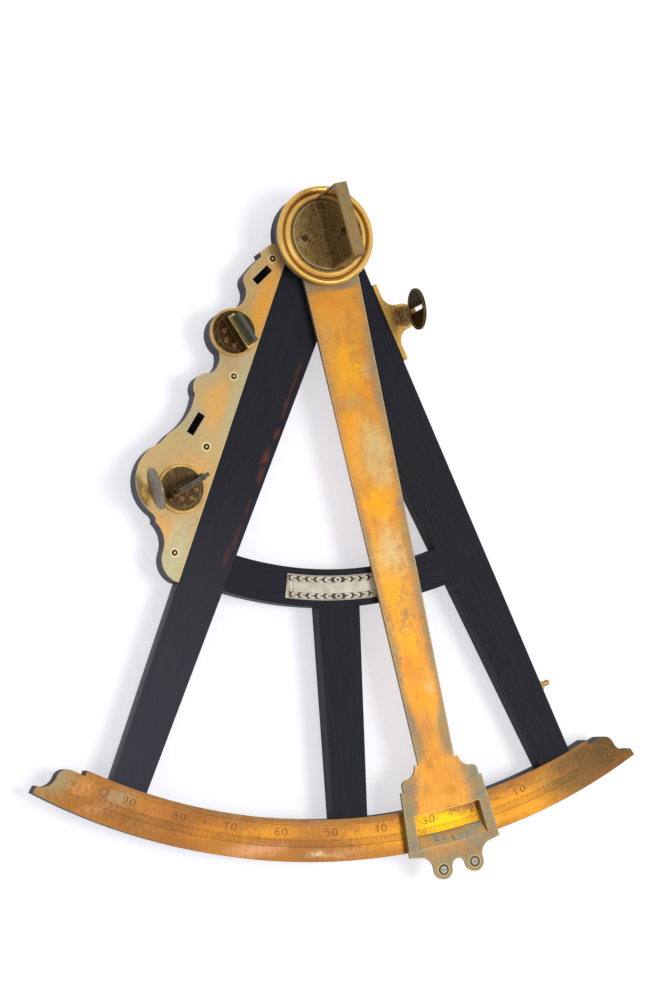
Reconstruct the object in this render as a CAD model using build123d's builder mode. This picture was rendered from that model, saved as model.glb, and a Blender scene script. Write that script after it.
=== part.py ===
"""A wooden-framed octant with brass fittings, lying on its back on three feet.

The origin is on the index pivot's axis, in the plane that the feet stand on. +Z points up out
of the face, and +Y points from the graduated limb to the pivot, along the frame's centre line.
All sizes are in millimetres. Bearings on the face are in degrees from -Y, positive towards +X.
"""

import os
from math import asin, atan2, cos, degrees, radians, sin, sqrt

from build123d import *

os.makedirs("parts", exist_ok=True)

# Levels, from the standing plane up
foot_height = 12.0
frame_thickness = 14.0
scale_thickness = 1.2
cheek_plate_thickness = 1.5
arm_gap = 3.0
arm_thickness = 3.0

# Screw slots and broken edges
screw_slot_width = 0.6
screw_slot_depth = 0.5
edge_break = 0.3
knob_chamfer = 0.6

# Clearances
running_fit = 0.05
fixed_fit = 0.02
face_clearance = 0.1

# Limb and scale
scale_radius = 406.4
band_inside = 17.9
band_outside = 9.6
limb_half_angle = 26.8
limb_step = 3.8
limb_flat = 9.5
limb_bulge = 7.0
limb_fillet = 1.2
limb_hollow = 9.5

# Legs and apex
leg_half_angle = 21.6
leg_offset = 17.8
leg_width_top = 41.3
leg_width_end = 24.1
right_leg_turn = -0.3
right_leg_shift = 4.6
right_leg_flare = 3.0
apex_radius = 30.0
apex_rise = 4.0
tongue_reach = 20.0
groove_width = 0.8
groove_depth = 0.5
groove_drop = 2.6
groove_margin = 4.2
groove_inner_start = 80.0

# Crossbar and centre post
crossbar_inner = 223.7
crossbar_width = 25.1
tenon_depth = 6.0
tenon_inset = 5.0
tenon_thickness = 6.0
post_width_top = 29.0
post_width_end = 23.6

# Name plaque
plaque_half_angle = 8.8
plaque_height = 16.4
plaque_thickness = 1.5
plaque_proud = 0.3

# Index pivot
axle_radius = 8.0
axle_thread_radius = 5.0
bush_wall = 4.0
bush_flange_radius = 24.0
back_plate_thickness = 1.5
back_plate_radius = 24.0
back_screw_circle = 20.0
back_screw_radius = 1.4
back_screw_length = 8.0
back_screw_head_radius = 2.4
back_screw_head_height = 0.9
washer_radius = 11.0
washer_thickness = 1.3
nut_across_flats = 16.0
nut_thickness = 4.0
axle_thread_proud = 0.9

# Feet
pivot_foot_radius = 15.5
pivot_foot_wall = 2.2
pivot_foot_floor = 3.0
limb_foot_radius = 6.5
limb_foot_bearing = 27.8
limb_foot_peg_radius = 3.0
limb_foot_peg_length = 6.0
foot_chamfer = 0.8

# Index arm
rest_bearing = 9.7
arm_head_radius = 32.0
arm_half_width_top = 20.2
arm_half_width_end = 13.1
arm_shoulder = 47.1
arm_shoulder_step = 2.9
arm_cove = 8.0
arm_ovolo = 3.6
arm_head_top = 31.6
arm_head_step = 2.0
arm_tip = 12.7
ear_spacing = 23.0
ear_drop = 24.0
ear_radius = 6.5
ear_cove = 9.0
window_half_angle = 3.52
window_inside = 14.2
window_outside = 7.8

# Vernier
vernier_half_angle = 3.42
vernier_edge = 0.5
vernier_rail = 4.5

# Index clamp behind the limb
spacer_radius = 4.4
ear_screw_radius = 2.0
ear_screw_head_radius = 2.7
ear_screw_head_height = 1.6
ear_counterbore_radius = 3.5
ear_counterbore_depth = 1.4
keeper_gap = 2.0
keeper_thickness = 2.2
keeper_half_width = 15.0
keeper_inset = 12.0
keeper_lug_radius = 4.0
keeper_strap_gap = 1.2
keeper_strap_thickness = 3.0
keeper_strap_width = 15.0
keeper_strap_shift = 2.5
spring_thickness = 0.5
spring_width = 9.0
spring_half_length = 11.0
thumbscrew_radius = 2.5
thumbscrew_head_radius = 7.0
thumbscrew_head_height = 4.2

# Index disc and mirror
disc_radius = 34.0
disc_height = 8.0
disc_foot_radius = 30.0
disc_groove_radius = 29.6
disc_bead_height = 3.4
disc_undercut = 1.0
base_radius = 25.4
base_depth = 1.6
mirror_inset = 0.8
mirror_height = 41.0
mirror_depth = 8.5
mirror_wall = 1.2
mirror_ledge = 2.0
mirror_lip = 0.6
mirror_shift = 1.0
mirror_setback = 1.2
mirror_turn = 3.0
mirror_glass_thickness = 3.0
mirror_screw_radius = 2.2
mirror_screw_shank = 1.2
mirror_screw_length = 5.0
mirror_screw_head = 0.9
mirror_screw_places = [(-16.0, 0.0), (15.0, 9.0), (15.0, -9.0)]

# Side cheek. Places on it are in hundredths of its length, along the left leg's outer edge
# and out from that edge
cheek_length = 253.8
lobe_half_angle = 72.0
cheek_rivet_radius = 1.3
cheek_rivet_proud = 0.2
cheek_rivets_at = [(10.13, 3.55), (43.89, 3.43), (64.14, 4.37), (93.11, 3.47)]
socket_width = 5.2
socket_floor = 3.0
fore_socket_place = (15.37, 4.81)
fore_socket_length = 14.8
fore_socket_turn = 25.7
back_socket_place = (59.50, 8.98)
back_socket_length = 15.8
back_socket_turn = 11.9

# Horizon mirrors
fore_mirror_place = (33.0, 7.29)
fore_mirror_bearing = 31.0
back_mirror_place = (76.95, 7.09)
back_mirror_bearing = 118.0
seat_radius = 16.2
seat_lobe_margin = -0.2
seat_rim = 1.5
seat_height = 1.8
seat_floor = 0.6
seat_barrel_radius = 6.5
stem_radius = 4.0
stem_thread_radius = 3.0
stem_thread_proud = 0.8
turntable_thickness = 1.3
holder_foot_radius = 12.0
holder_shift = -1.8
holder_floor = 1.2
holder_height = 11.5
holder_wall = 1.2
holder_lip_height = 3.0
holder_lip = 0.8
holder_return = 3.6
pane_length = 22.0
pane_thickness = 2.6
pane_height = 25.0
pane_clearance = 0.1
holder_screws = [(-5.3, 4.0), (-8.0, -1.8), (-5.0, -7.6)]
holder_screw_radius = 1.8
holder_screw_shank = 1.0
holder_screw_head = 0.8
holder_back = -2.0
holder_slot_turn = 30.0
lever_thickness = 2.0
lever_length = 34.0
lever_width = 11.0
lever_tip_width = 7.0
lever_knob_radius = 3.2
lever_knob_height = 6.0
lever_hub_radius = 7.0
clamp_nut_radius = 7.0
clamp_nut_thickness = 4.6

# Sights
fore_sight_place = (69.4, 12.0)
fore_sight_bearing = 6.8
fore_sight_rise = 26.0
fore_disc_radius = 14.0
fore_disc_thickness = 2.0
fore_slit_width = 3.0
fore_slit_length = 21.0
fore_pillar_radius = 7.0
fore_pillar_foot = 1.4
fore_pillar_neck_radius = 4.0
fore_pillar_stem_radius = 4.8
fore_pillar_bead_radius = 5.6
fore_pillar_bead_height = 1.2
fore_pillar_neck_height = 5.0
pillar_bevel = 0.8
fore_spigot_radius = 3.0
back_sight_place = (80.77, 14.97)
back_sight_bearing = 14.5
back_sight_rise = 19.7
back_disc_radius = 14.0
back_disc_thickness = 1.6
back_pinhole_radius = 0.8
back_collar_radius = 5.3
back_collar_height = 1.2
back_neck_radius = 3.1
back_stem_radius = 3.9
back_neck_height = 3.0
back_spigot_radius = 2.5
back_spigot_length = 10.0
disc_seat_depth = 1.6
disc_rim = 1.6
disc_recess = 0.4
rivet_head = 1.2
rivet_head_radius = 4.4

# Fore sight bracket on the right leg
bracket_start = 42.0
bracket_length = 55.5
bracket_flange = 3.0
bracket_depth = 12.0
bracket_plate = 4.0
bracket_platform_radius = 9.0
bracket_cove = 9.5
bracket_screw_radius = 1.6
bracket_screw_head_radius = 2.4
bracket_screw_head_height = 1.3
bracket_screw_length = 14.0
bracket_screw_inset = 4.5

# Stowage peg on the right leg
peg_place = 340.0
peg_boss_radius = 6.0
peg_boss_tip_radius = 2.6
peg_boss_height = 4.0
peg_pin_radius = 1.9
peg_pin_tip_radius = 1.2
peg_pin_reach = 5.0
peg_pin_root = 8.0

# Levels worked out from the thicknesses
back_z = foot_height
face_z = back_z + frame_thickness
half_z = back_z + frame_thickness / 2
scale_z = face_z + scale_thickness
cheek_z = face_z + cheek_plate_thickness
arm_z = scale_z + arm_gap
arm_top_z = arm_z + arm_thickness
limb_inner = scale_radius - band_inside
limb_outer = scale_radius + band_outside
crossbar_outer = crossbar_inner + crossbar_width
bush_radius = axle_radius + bush_wall
bracket_end = bracket_start + bracket_length
bracket_screws_along = (bracket_start + bracket_screw_inset, bracket_end - bracket_screw_inset)
back_plate_z = back_z - back_plate_thickness
washer_z = back_plate_z - face_clearance - washer_thickness
nut_z = washer_z - nut_thickness
disc_top_z = arm_top_z + disc_height
mirror_length = 2 * (base_radius - mirror_inset)
glass_length = mirror_length - 2 * mirror_wall
keeper_top_z = back_z - keeper_gap
keeper_z = keeper_top_z - keeper_thickness
keeper_ear_z = scale_z - keeper_thickness
turntable_z = cheek_z + seat_floor + face_clearance
holder_z = turntable_z + turntable_thickness
lever_z = back_z - face_clearance - lever_thickness
clamp_nut_z = lever_z - face_clearance - clamp_nut_thickness
pane_back = holder_back + holder_wall
pane_front = pane_back + pane_thickness + 2 * pane_clearance
bracket_top_z = scale_z
fore_sight_z = bracket_top_z + fore_sight_rise
back_sight_z = cheek_z + back_sight_rise


def polar(radius, bearing):
    """A point on the face, from its distance to the pivot and its bearing."""
    return (radius * sin(radians(bearing)), -radius * cos(radians(bearing)))


def leg_angle(side):
    """The angle of a leg's outer edge to the frame's centre line."""
    return leg_half_angle + (right_leg_turn if side > 0 else 0)


def leg_point(side, along, out):
    """A point from its distance along a leg's outer edge and out from that edge."""
    angle = radians(leg_angle(side))
    reach = out + leg_offset + (right_leg_shift if side > 0 else 0)
    x = side * (along * sin(angle) + reach * cos(angle))
    y = reach * sin(angle) - along * cos(angle)
    return (x, y)


def on_cheek(place):
    """A point of the cheek, from a place in hundredths of its length."""
    return leg_point(-1, place[0] * cheek_length / 100, place[1] * cheek_length / 100)


def leg_width(side, along):
    """The width of a leg, which tapers evenly from the pivot to the limb."""
    top = leg_width_top + (right_leg_flare if side > 0 else 0)
    return top + (leg_width_end - top) * along / limb_inner


def inner_edge_bearing(side, radius):
    """The angle from the centre line to where a leg's inner edge crosses a circle about the pivot."""
    start = leg_point(side, 0, -leg_width(side, 0))
    end = leg_point(side, limb_inner, -leg_width(side, limb_inner))
    slope = atan2(side * (end[0] - start[0]), start[1] - end[1])
    miss = side * start[0] * cos(slope) + start[1] * sin(slope)
    return degrees(slope + asin(miss / radius))


def arm_plane(height, further=0):
    """The face's plane at a height, turned to the index arm's rest bearing or further."""
    turn = radians(rest_bearing + further)
    return Plane(origin=(0, 0, height), x_dir=(cos(turn), sin(turn), 0), z_dir=(0, 0, 1))


def station_plane(place, bearing, height):
    """A plane at a place on the cheek, with its X axis turned to a bearing from +X."""
    turn = radians(bearing)
    x, y = on_cheek(place)
    return Plane(origin=(x, y, height), x_dir=(cos(turn), sin(turn), 0), z_dir=(0, 0, 1))


def edge_plane(along, height):
    """A plane on the right leg's outer edge that faces outwards, with X up."""
    angle = radians(leg_angle(1))
    x, y = leg_point(1, along, 0)
    return Plane(origin=(x, y, height), x_dir=(0, 0, 1), z_dir=(cos(angle), sin(angle), 0))


def disc_plane(axis_point, bearing, height):
    """An upright plane through a sight's axis, which faces along the line of sight."""
    turn = radians(bearing)
    x, y = axis_point
    return Plane(origin=(x, y, height), x_dir=(-sin(turn), cos(turn), 0), z_dir=(cos(turn), sin(turn), 0))


def arc_band(inner, outer, half_angle, middle=0):
    """A band between two arcs about the pivot, to both sides of a middle bearing."""
    start = middle - half_angle
    end = middle + half_angle
    with BuildSketch() as band:
        with BuildLine():
            ThreePointArc(polar(inner, start), polar(inner, middle), polar(inner, end))
            Line(polar(inner, end), polar(outer, end))
            ThreePointArc(polar(outer, end), polar(outer, middle), polar(outer, start))
            Line(polar(outer, start), polar(inner, start))
        make_face()
    return band.sketch


def tenon_band():
    """The plan of the crossbar's tongue, which runs on into both legs."""
    into = degrees(tenon_depth / crossbar_inner)
    left = inner_edge_bearing(-1, crossbar_inner) + into
    right = inner_edge_bearing(1, crossbar_inner) + into
    inside = crossbar_inner + tenon_inset
    return arc_band(inside, crossbar_outer - tenon_inset, (right + left) / 2, (right - left) / 2)


def leg_plan(side, reach):
    """The plan of a leg out to a radius, cut at the frame's centre line."""
    far = reach + leg_width_top
    with BuildSketch() as plan:
        with BuildLine():
            Polyline(
                leg_point(side, 0, 0),
                leg_point(side, far, 0),
                leg_point(side, far, -leg_width(side, far)),
                leg_point(side, 0, -leg_width(side, 0)),
                close=True,
            )
        make_face()
        Circle(reach, mode=Mode.INTERSECT)
        with Locations((side * far / 2, 0)):
            Rectangle(far, 3 * far, mode=Mode.INTERSECT)
    return plan.sketch


def leg_tongue(side):
    """The plan of the tongue that laps into the limb."""
    with BuildSketch() as plan:
        add(leg_plan(side, limb_inner + tongue_reach))
        Circle(limb_inner, mode=Mode.SUBTRACT)
    return plan.sketch


def groove_plan(side, start, out):
    """The plan of a fine groove along a leg's side, which starts at a distance."""
    end = limb_inner
    bite = groove_depth if out == 0 else -groove_depth
    with BuildSketch() as plan:
        with BuildLine():
            Polyline(
                leg_point(side, start, out * leg_width(side, start) - bite),
                leg_point(side, end, out * leg_width(side, end) - bite),
                leg_point(side, end, out * leg_width(side, end) + bite),
                leg_point(side, start, out * leg_width(side, start) + bite),
                close=True,
            )
        make_face()
    return plan.sketch


def post_half_width(distance):
    """Half the width of the centre post, which tapers evenly towards the limb."""
    share = (distance - crossbar_outer) / (limb_inner - crossbar_outer)
    return (post_width_top + (post_width_end - post_width_top) * share) / 2


def post_plan(start, end):
    """The plan of the centre post between two radii."""
    near = post_half_width(crossbar_inner)
    far = post_half_width(limb_outer)
    with BuildSketch() as plan:
        with BuildLine():
            Polyline(
                (-near, -crossbar_inner),
                (near, -crossbar_inner),
                (far, -limb_outer),
                (-far, -limb_outer),
                close=True,
            )
        make_face()
        Circle(start, mode=Mode.SUBTRACT)
        Circle(end, mode=Mode.INTERSECT)
    return plan.sketch


def limb_plan():
    """The limb's plan: an arc whose ends are stepped and carved to an ogee."""
    turn = radians(limb_half_angle)
    corner = polar(limb_inner, limb_half_angle)

    def end_point(along, outward):
        x = corner[0] + along * cos(turn) + outward * sin(turn)
        y = corner[1] + along * sin(turn) - outward * cos(turn)
        return (x, y)

    bulge_end = limb_flat + limb_bulge
    hollow_start = limb_step + limb_bulge + limb_fillet
    tip_along = bulge_end + limb_hollow
    tip_out = hollow_start + limb_hollow
    tip = end_point(tip_along, tip_out)
    tip_bearing = degrees(atan2(tip[0], -tip[1]))
    knee = sin(radians(45))
    with BuildSketch() as plan:
        with BuildLine():
            ThreePointArc((0, -limb_inner), polar(limb_inner, limb_half_angle / 2), corner)
            Line(corner, end_point(0, limb_step))
            Line(end_point(0, limb_step), end_point(limb_flat, limb_step))
            ThreePointArc(
                end_point(limb_flat, limb_step),
                end_point(limb_flat + limb_bulge * knee, limb_step + limb_bulge * (1 - knee)),
                end_point(bulge_end, limb_step + limb_bulge),
            )
            Line(end_point(bulge_end, limb_step + limb_bulge), end_point(bulge_end, hollow_start))
            ThreePointArc(
                end_point(bulge_end, hollow_start),
                end_point(bulge_end + limb_hollow * (1 - knee), hollow_start + limb_hollow * knee),
                tip,
            )
            Line(tip, polar(limb_outer, tip_bearing))
            ThreePointArc(
                polar(limb_outer, tip_bearing), polar(limb_outer, tip_bearing / 2), (0, -limb_outer)
            )
            mirror(about=Plane.YZ)
        make_face()
    return plan.sketch


def socket_plan():
    """The plan of the cheek's two sockets for the tangs of the shade glasses."""
    with BuildSketch() as plan:
        for place, length, turn in (
            (fore_socket_place, fore_socket_length, fore_socket_turn),
            (back_socket_place, back_socket_length, back_socket_turn),
        ):
            heading = 270 - leg_half_angle - turn
            with Locations(on_cheek(place)):
                Rectangle(length, socket_width, rotation=heading)
    return plan.sketch


def cheek_plan():
    """The plan of the scrolled cheek that stands out from the left leg."""
    lobe = seat_radius + seat_lobe_margin
    percent = cheek_length / 100
    lobe_along = fore_mirror_place[0] * percent
    lobe_out = fore_mirror_place[1] * percent

    def at(along, out):
        return on_cheek((along, out))

    def on_lobe(turn):
        """A point of the round lobe that carries the fore horizon mirror."""
        swing = radians(turn)
        return leg_point(-1, lobe_along + lobe * sin(swing), lobe_out + lobe * cos(swing))

    with BuildSketch() as plan:
        with BuildLine():
            Polyline(at(2, 0), at(5.9, 3.3), at(6.3, 5), at(9.7, 7.3), at(10.5, 6.5))
            ThreePointArc(at(10.5, 6.5), at(13.8, 8.1), at(17.3, 9.3))
            ThreePointArc(at(17.3, 9.3), at(19, 8.9), at(19.9, 8.2))
            ThreePointArc(at(19.9, 8.2), at(22.7, 7.1), at(25.6, 8))
            Line(at(25.6, 8), on_lobe(-lobe_half_angle))
            ThreePointArc(on_lobe(-lobe_half_angle), on_lobe(0), on_lobe(lobe_half_angle))
            ThreePointArc(on_lobe(lobe_half_angle), at(42.7, 8.3), at(45.5, 9.6))
            ThreePointArc(at(45.5, 9.6), at(48.7, 12.8), at(52.1, 11.6))
            Line(at(52.1, 11.6), at(52.9, 11.5))
            ThreePointArc(at(52.9, 11.5), at(57.9, 11.7), at(63.5, 14.2))
            Polyline(at(63.5, 14.2), at(64.6, 14.9), at(67.6, 16.2))
            ThreePointArc(at(67.6, 16.2), at(75.7, 19.7), at(85.6, 11.9))
            Polyline(at(85.6, 11.9), at(86.3, 11), at(87.3, 10.7))
            ThreePointArc(at(87.3, 10.7), at(89.5, 7.9), at(93.8, 6.4))
            ThreePointArc(at(93.8, 6.4), at(98.2, 4.6), at(100, 0.8))
            Polyline(at(100, 0.8), at(99.9, 0), at(99.9, -0.4), at(2, -0.4), at(2, 0))
        make_face()
        with Locations((0, apex_rise)):
            Circle(apex_radius, mode=Mode.SUBTRACT)
        add(leg_plan(-1, limb_inner), mode=Mode.SUBTRACT)
        add(socket_plan(), mode=Mode.SUBTRACT)
        for place in (fore_mirror_place, back_mirror_place):
            with Locations(on_cheek(place)):
                Circle(seat_barrel_radius + fixed_fit, mode=Mode.SUBTRACT)
        with Locations(on_cheek(back_sight_place)):
            Circle(back_spigot_radius + running_fit, mode=Mode.SUBTRACT)
        for place in cheek_rivets_at:
            with Locations(on_cheek(place)):
                Circle(cheek_rivet_radius + fixed_fit, mode=Mode.SUBTRACT)
    return plan.sketch


# Frame of dark hardwood: two legs halved together at a round apex
with BuildPart() as left_leg:
    with BuildSketch(Plane.XY.offset(back_z)):
        add(leg_plan(-1, limb_inner))
        with Locations((0, apex_rise)):
            Circle(apex_radius, mode=Mode.SUBTRACT)
    extrude(amount=frame_thickness)
    with BuildSketch(Plane.XY.offset(half_z)):
        with Locations((0, apex_rise)):
            Circle(apex_radius)
    extrude(amount=frame_thickness / 2)
    with BuildSketch(Plane.XY.offset(back_z)):
        add(leg_tongue(-1))
    extrude(amount=frame_thickness / 2)
    with BuildSketch(Plane.XY.offset(face_z - groove_drop - groove_width)):
        add(groove_plan(-1, cheek_length + groove_margin, 0))
        add(groove_plan(-1, groove_inner_start, -1))
    extrude(amount=groove_width, mode=Mode.SUBTRACT)
    with BuildSketch(Plane.XY.offset(half_z - tenon_thickness / 2)):
        add(tenon_band())
    extrude(amount=tenon_thickness, mode=Mode.SUBTRACT)
    with BuildSketch(Plane.XY.offset(back_z)):
        Circle(bush_radius + fixed_fit)
    extrude(amount=frame_thickness, mode=Mode.SUBTRACT)
left_leg.part.label = "left_leg"
export_step(left_leg.part, "parts/left_leg.step")

with BuildPart() as right_leg:
    with BuildSketch(Plane.XY.offset(back_z)):
        add(leg_plan(1, limb_inner))
        with Locations((0, apex_rise)):
            Circle(apex_radius, mode=Mode.SUBTRACT)
    extrude(amount=frame_thickness)
    with BuildSketch(Plane.XY.offset(back_z)):
        with Locations((0, apex_rise)):
            Circle(apex_radius)
    extrude(amount=frame_thickness / 2)
    with BuildSketch(Plane.XY.offset(back_z)):
        add(leg_tongue(1))
    extrude(amount=frame_thickness / 2)
    with BuildSketch(Plane.XY.offset(face_z - groove_drop - groove_width)):
        add(groove_plan(1, bracket_end + groove_margin, 0))
        add(groove_plan(1, groove_inner_start, -1))
    extrude(amount=groove_width, mode=Mode.SUBTRACT)
    with BuildSketch(Plane.XY.offset(half_z - tenon_thickness / 2)):
        add(tenon_band())
    extrude(amount=tenon_thickness, mode=Mode.SUBTRACT)
    with BuildSketch(Plane.XY.offset(back_z)):
        Circle(bush_radius + fixed_fit)
    extrude(amount=frame_thickness, mode=Mode.SUBTRACT)
    with BuildSketch(Plane.XY.offset(back_z)):
        with PolarLocations(back_screw_circle, 3, start_angle=90):
            Circle(back_screw_radius + fixed_fit)
    extrude(amount=back_screw_length - back_plate_thickness, mode=Mode.SUBTRACT)
    for along in bracket_screws_along:
        with BuildSketch(edge_plane(along, half_z)):
            Circle(bracket_screw_radius + fixed_fit)
        extrude(amount=-bracket_screw_length, mode=Mode.SUBTRACT)
    with BuildSketch(edge_plane(peg_place, half_z)):
        Circle(peg_pin_radius + fixed_fit)
    extrude(amount=-peg_pin_root, mode=Mode.SUBTRACT)
right_leg.part.label = "right_leg"
export_step(right_leg.part, "parts/right_leg.step")


# Limb, scale and the two cross members
with BuildPart() as limb_arc:
    with BuildSketch(Plane.XY.offset(back_z)):
        add(limb_plan())
    extrude(amount=frame_thickness)
    with BuildSketch(Plane.XY.offset(back_z)):
        add(leg_tongue(-1))
        add(leg_tongue(1))
        add(post_plan(limb_inner, limb_inner + tongue_reach))
    extrude(amount=frame_thickness / 2, mode=Mode.SUBTRACT)
    with BuildSketch(Plane.XY.offset(back_z)):
        for side in (-1, 1):
            with Locations(polar(scale_radius, side * limb_foot_bearing)):
                Circle(limb_foot_peg_radius + fixed_fit)
    extrude(amount=limb_foot_peg_length, mode=Mode.SUBTRACT)
limb_arc.part.label = "limb_arc"
export_step(limb_arc.part, "parts/limb_arc.step")

with BuildPart() as scale_plate:
    with BuildSketch(Plane.XY.offset(face_z)):
        add(limb_plan())
    extrude(amount=scale_thickness)
scale_plate.part.label = "scale_plate"
export_step(scale_plate.part, "parts/scale_plate.step")

with BuildPart() as crossbar:
    with BuildSketch(Plane.XY.offset(back_z)):
        add(arc_band(crossbar_inner, crossbar_outer, 2 * leg_half_angle))
        add(leg_plan(-1, limb_inner), mode=Mode.SUBTRACT)
        add(leg_plan(1, limb_inner), mode=Mode.SUBTRACT)
        with Locations((0, -crossbar_outer)):
            Rectangle(2 * crossbar_outer * sin(radians(leg_half_angle)), crossbar_outer,
                      mode=Mode.INTERSECT)
    extrude(amount=frame_thickness)
    with BuildSketch(Plane.XY.offset(half_z - tenon_thickness / 2)):
        add(tenon_band())
    extrude(amount=tenon_thickness)
    with BuildSketch(Plane.XY.offset(half_z - tenon_thickness / 2)):
        add(post_plan(crossbar_outer - tenon_depth, crossbar_outer))
    extrude(amount=tenon_thickness, mode=Mode.SUBTRACT)
    with BuildSketch(Plane.XY.offset(face_z - plaque_thickness + plaque_proud)):
        middle = crossbar_inner + crossbar_width / 2
        add(arc_band(middle - plaque_height / 2 - fixed_fit, middle + plaque_height / 2 + fixed_fit,
                     plaque_half_angle + degrees(fixed_fit / middle)))
    extrude(amount=plaque_thickness, mode=Mode.SUBTRACT)
crossbar.part.label = "crossbar"
export_step(crossbar.part, "parts/crossbar.step")

with BuildPart() as plaque:
    with BuildSketch(Plane.XY.offset(face_z - plaque_thickness + plaque_proud)):
        middle = crossbar_inner + crossbar_width / 2
        add(arc_band(middle - plaque_height / 2, middle + plaque_height / 2, plaque_half_angle))
    extrude(amount=plaque_thickness)
plaque.part.label = "plaque"
export_step(plaque.part, "parts/plaque.step")

with BuildPart() as centre_post:
    with BuildSketch(Plane.XY.offset(back_z)):
        add(post_plan(crossbar_outer, limb_inner))
    extrude(amount=frame_thickness)
    with BuildSketch(Plane.XY.offset(back_z)):
        add(post_plan(limb_inner - tongue_reach, limb_inner + tongue_reach))
    extrude(amount=frame_thickness / 2)
    with BuildSketch(Plane.XY.offset(half_z - tenon_thickness / 2)):
        add(post_plan(crossbar_outer - tenon_depth, crossbar_outer + tenon_depth))
    extrude(amount=tenon_thickness)
centre_post.part.label = "centre_post"
export_step(centre_post.part, "parts/centre_post.step")

# Scrolled cheek on the left leg, a wooden block under a brass plate
with BuildPart() as cheek_block:
    with BuildSketch(Plane.XY.offset(back_z)):
        add(cheek_plan())
    extrude(amount=frame_thickness)
    with BuildSketch(Plane.XY.offset(back_z)):
        add(socket_plan())
    extrude(amount=socket_floor)
cheek_block.part.label = "cheek_block"
export_step(cheek_block.part, "parts/cheek_block.step")

with BuildPart() as cheek_plate:
    with BuildSketch(Plane.XY.offset(face_z)):
        add(cheek_plan())
    extrude(amount=cheek_plate_thickness)
cheek_plate.part.label = "cheek_plate"
export_step(cheek_plate.part, "parts/cheek_plate.step")

with BuildPart() as cheek_rivets:
    with BuildSketch(Plane.XY.offset(back_z)):
        for place in cheek_rivets_at:
            with Locations(on_cheek(place)):
                Circle(cheek_rivet_radius)
    extrude(amount=frame_thickness + cheek_plate_thickness + cheek_rivet_proud)
    chamfer(cheek_rivets.faces().sort_by(Axis.Z)[-4:].edges(), length=cheek_rivet_proud / 2)
cheek_rivets.part.label = "cheek_rivets"
export_step(cheek_rivets.part, "parts/cheek_rivets.step")

# Index bearing: bush, back plate, its screws and the foot that covers the nut
with BuildPart() as pivot_bush:
    with BuildSketch(Plane.XY.offset(back_plate_z)):
        Circle(bush_radius)
    extrude(amount=face_z - back_plate_z)
    with BuildSketch(Plane.XY.offset(face_z)):
        Circle(bush_flange_radius)
    extrude(amount=arm_z - face_clearance - face_z)
    with BuildSketch(Plane.XY.offset(back_plate_z)):
        Circle(axle_radius + running_fit)
    extrude(amount=arm_z - back_plate_z, mode=Mode.SUBTRACT)
pivot_bush.part.label = "pivot_bush"
export_step(pivot_bush.part, "parts/pivot_bush.step")

with BuildPart() as pivot_back_plate:
    with BuildSketch(Plane.XY.offset(back_plate_z)):
        Circle(back_plate_radius)
        Circle(bush_radius + fixed_fit, mode=Mode.SUBTRACT)
        with PolarLocations(back_screw_circle, 3, start_angle=90):
            Circle(back_screw_radius + fixed_fit, mode=Mode.SUBTRACT)
    extrude(amount=back_plate_thickness)
pivot_back_plate.part.label = "pivot_back_plate"
export_step(pivot_back_plate.part, "parts/pivot_back_plate.step")

with BuildPart() as back_plate_screws:
    with BuildSketch(Plane.XY.offset(back_plate_z)):
        with PolarLocations(back_screw_circle, 3, start_angle=90):
            Circle(back_screw_radius)
    extrude(amount=back_screw_length)
    with BuildSketch(Plane.XY.offset(back_plate_z - back_screw_head_height)):
        with PolarLocations(back_screw_circle, 3, start_angle=90):
            Circle(back_screw_head_radius)
    extrude(amount=back_screw_head_height)
    with BuildSketch(Plane.XY.offset(back_plate_z - back_screw_head_height)):
        with PolarLocations(back_screw_circle, 3, start_angle=90):
            Rectangle(2 * back_screw_head_radius, screw_slot_width)
    extrude(amount=screw_slot_depth, mode=Mode.SUBTRACT)
back_plate_screws.part.label = "back_plate_screws"
export_step(back_plate_screws.part, "parts/back_plate_screws.step")

with BuildPart() as pivot_foot:
    with BuildSketch():
        Circle(pivot_foot_radius)
    extrude(amount=back_plate_z)
    chamfer(pivot_foot.faces().sort_by(Axis.Z)[0].edges(), length=foot_chamfer)
    with BuildSketch(Plane.XY.offset(pivot_foot_floor)):
        Circle(pivot_foot_radius - pivot_foot_wall)
    extrude(amount=back_plate_z - pivot_foot_floor, mode=Mode.SUBTRACT)
pivot_foot.part.label = "pivot_foot"
export_step(pivot_foot.part, "parts/pivot_foot.step")

for name, side in (("left", -1), ("right", 1)):
    place = polar(scale_radius, side * limb_foot_bearing)
    with BuildPart() as limb_foot:
        with BuildSketch():
            with Locations(place):
                Circle(limb_foot_radius)
        extrude(amount=foot_height)
        chamfer(limb_foot.faces().sort_by(Axis.Z)[0].edges(), length=foot_chamfer)
        with BuildSketch(Plane.XY.offset(foot_height)):
            with Locations(place):
                Circle(limb_foot_peg_radius)
        extrude(amount=limb_foot_peg_length)
    limb_foot.part.label = f"{name}_foot"
    export_step(limb_foot.part, f"parts/{name}_foot.step")


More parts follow.
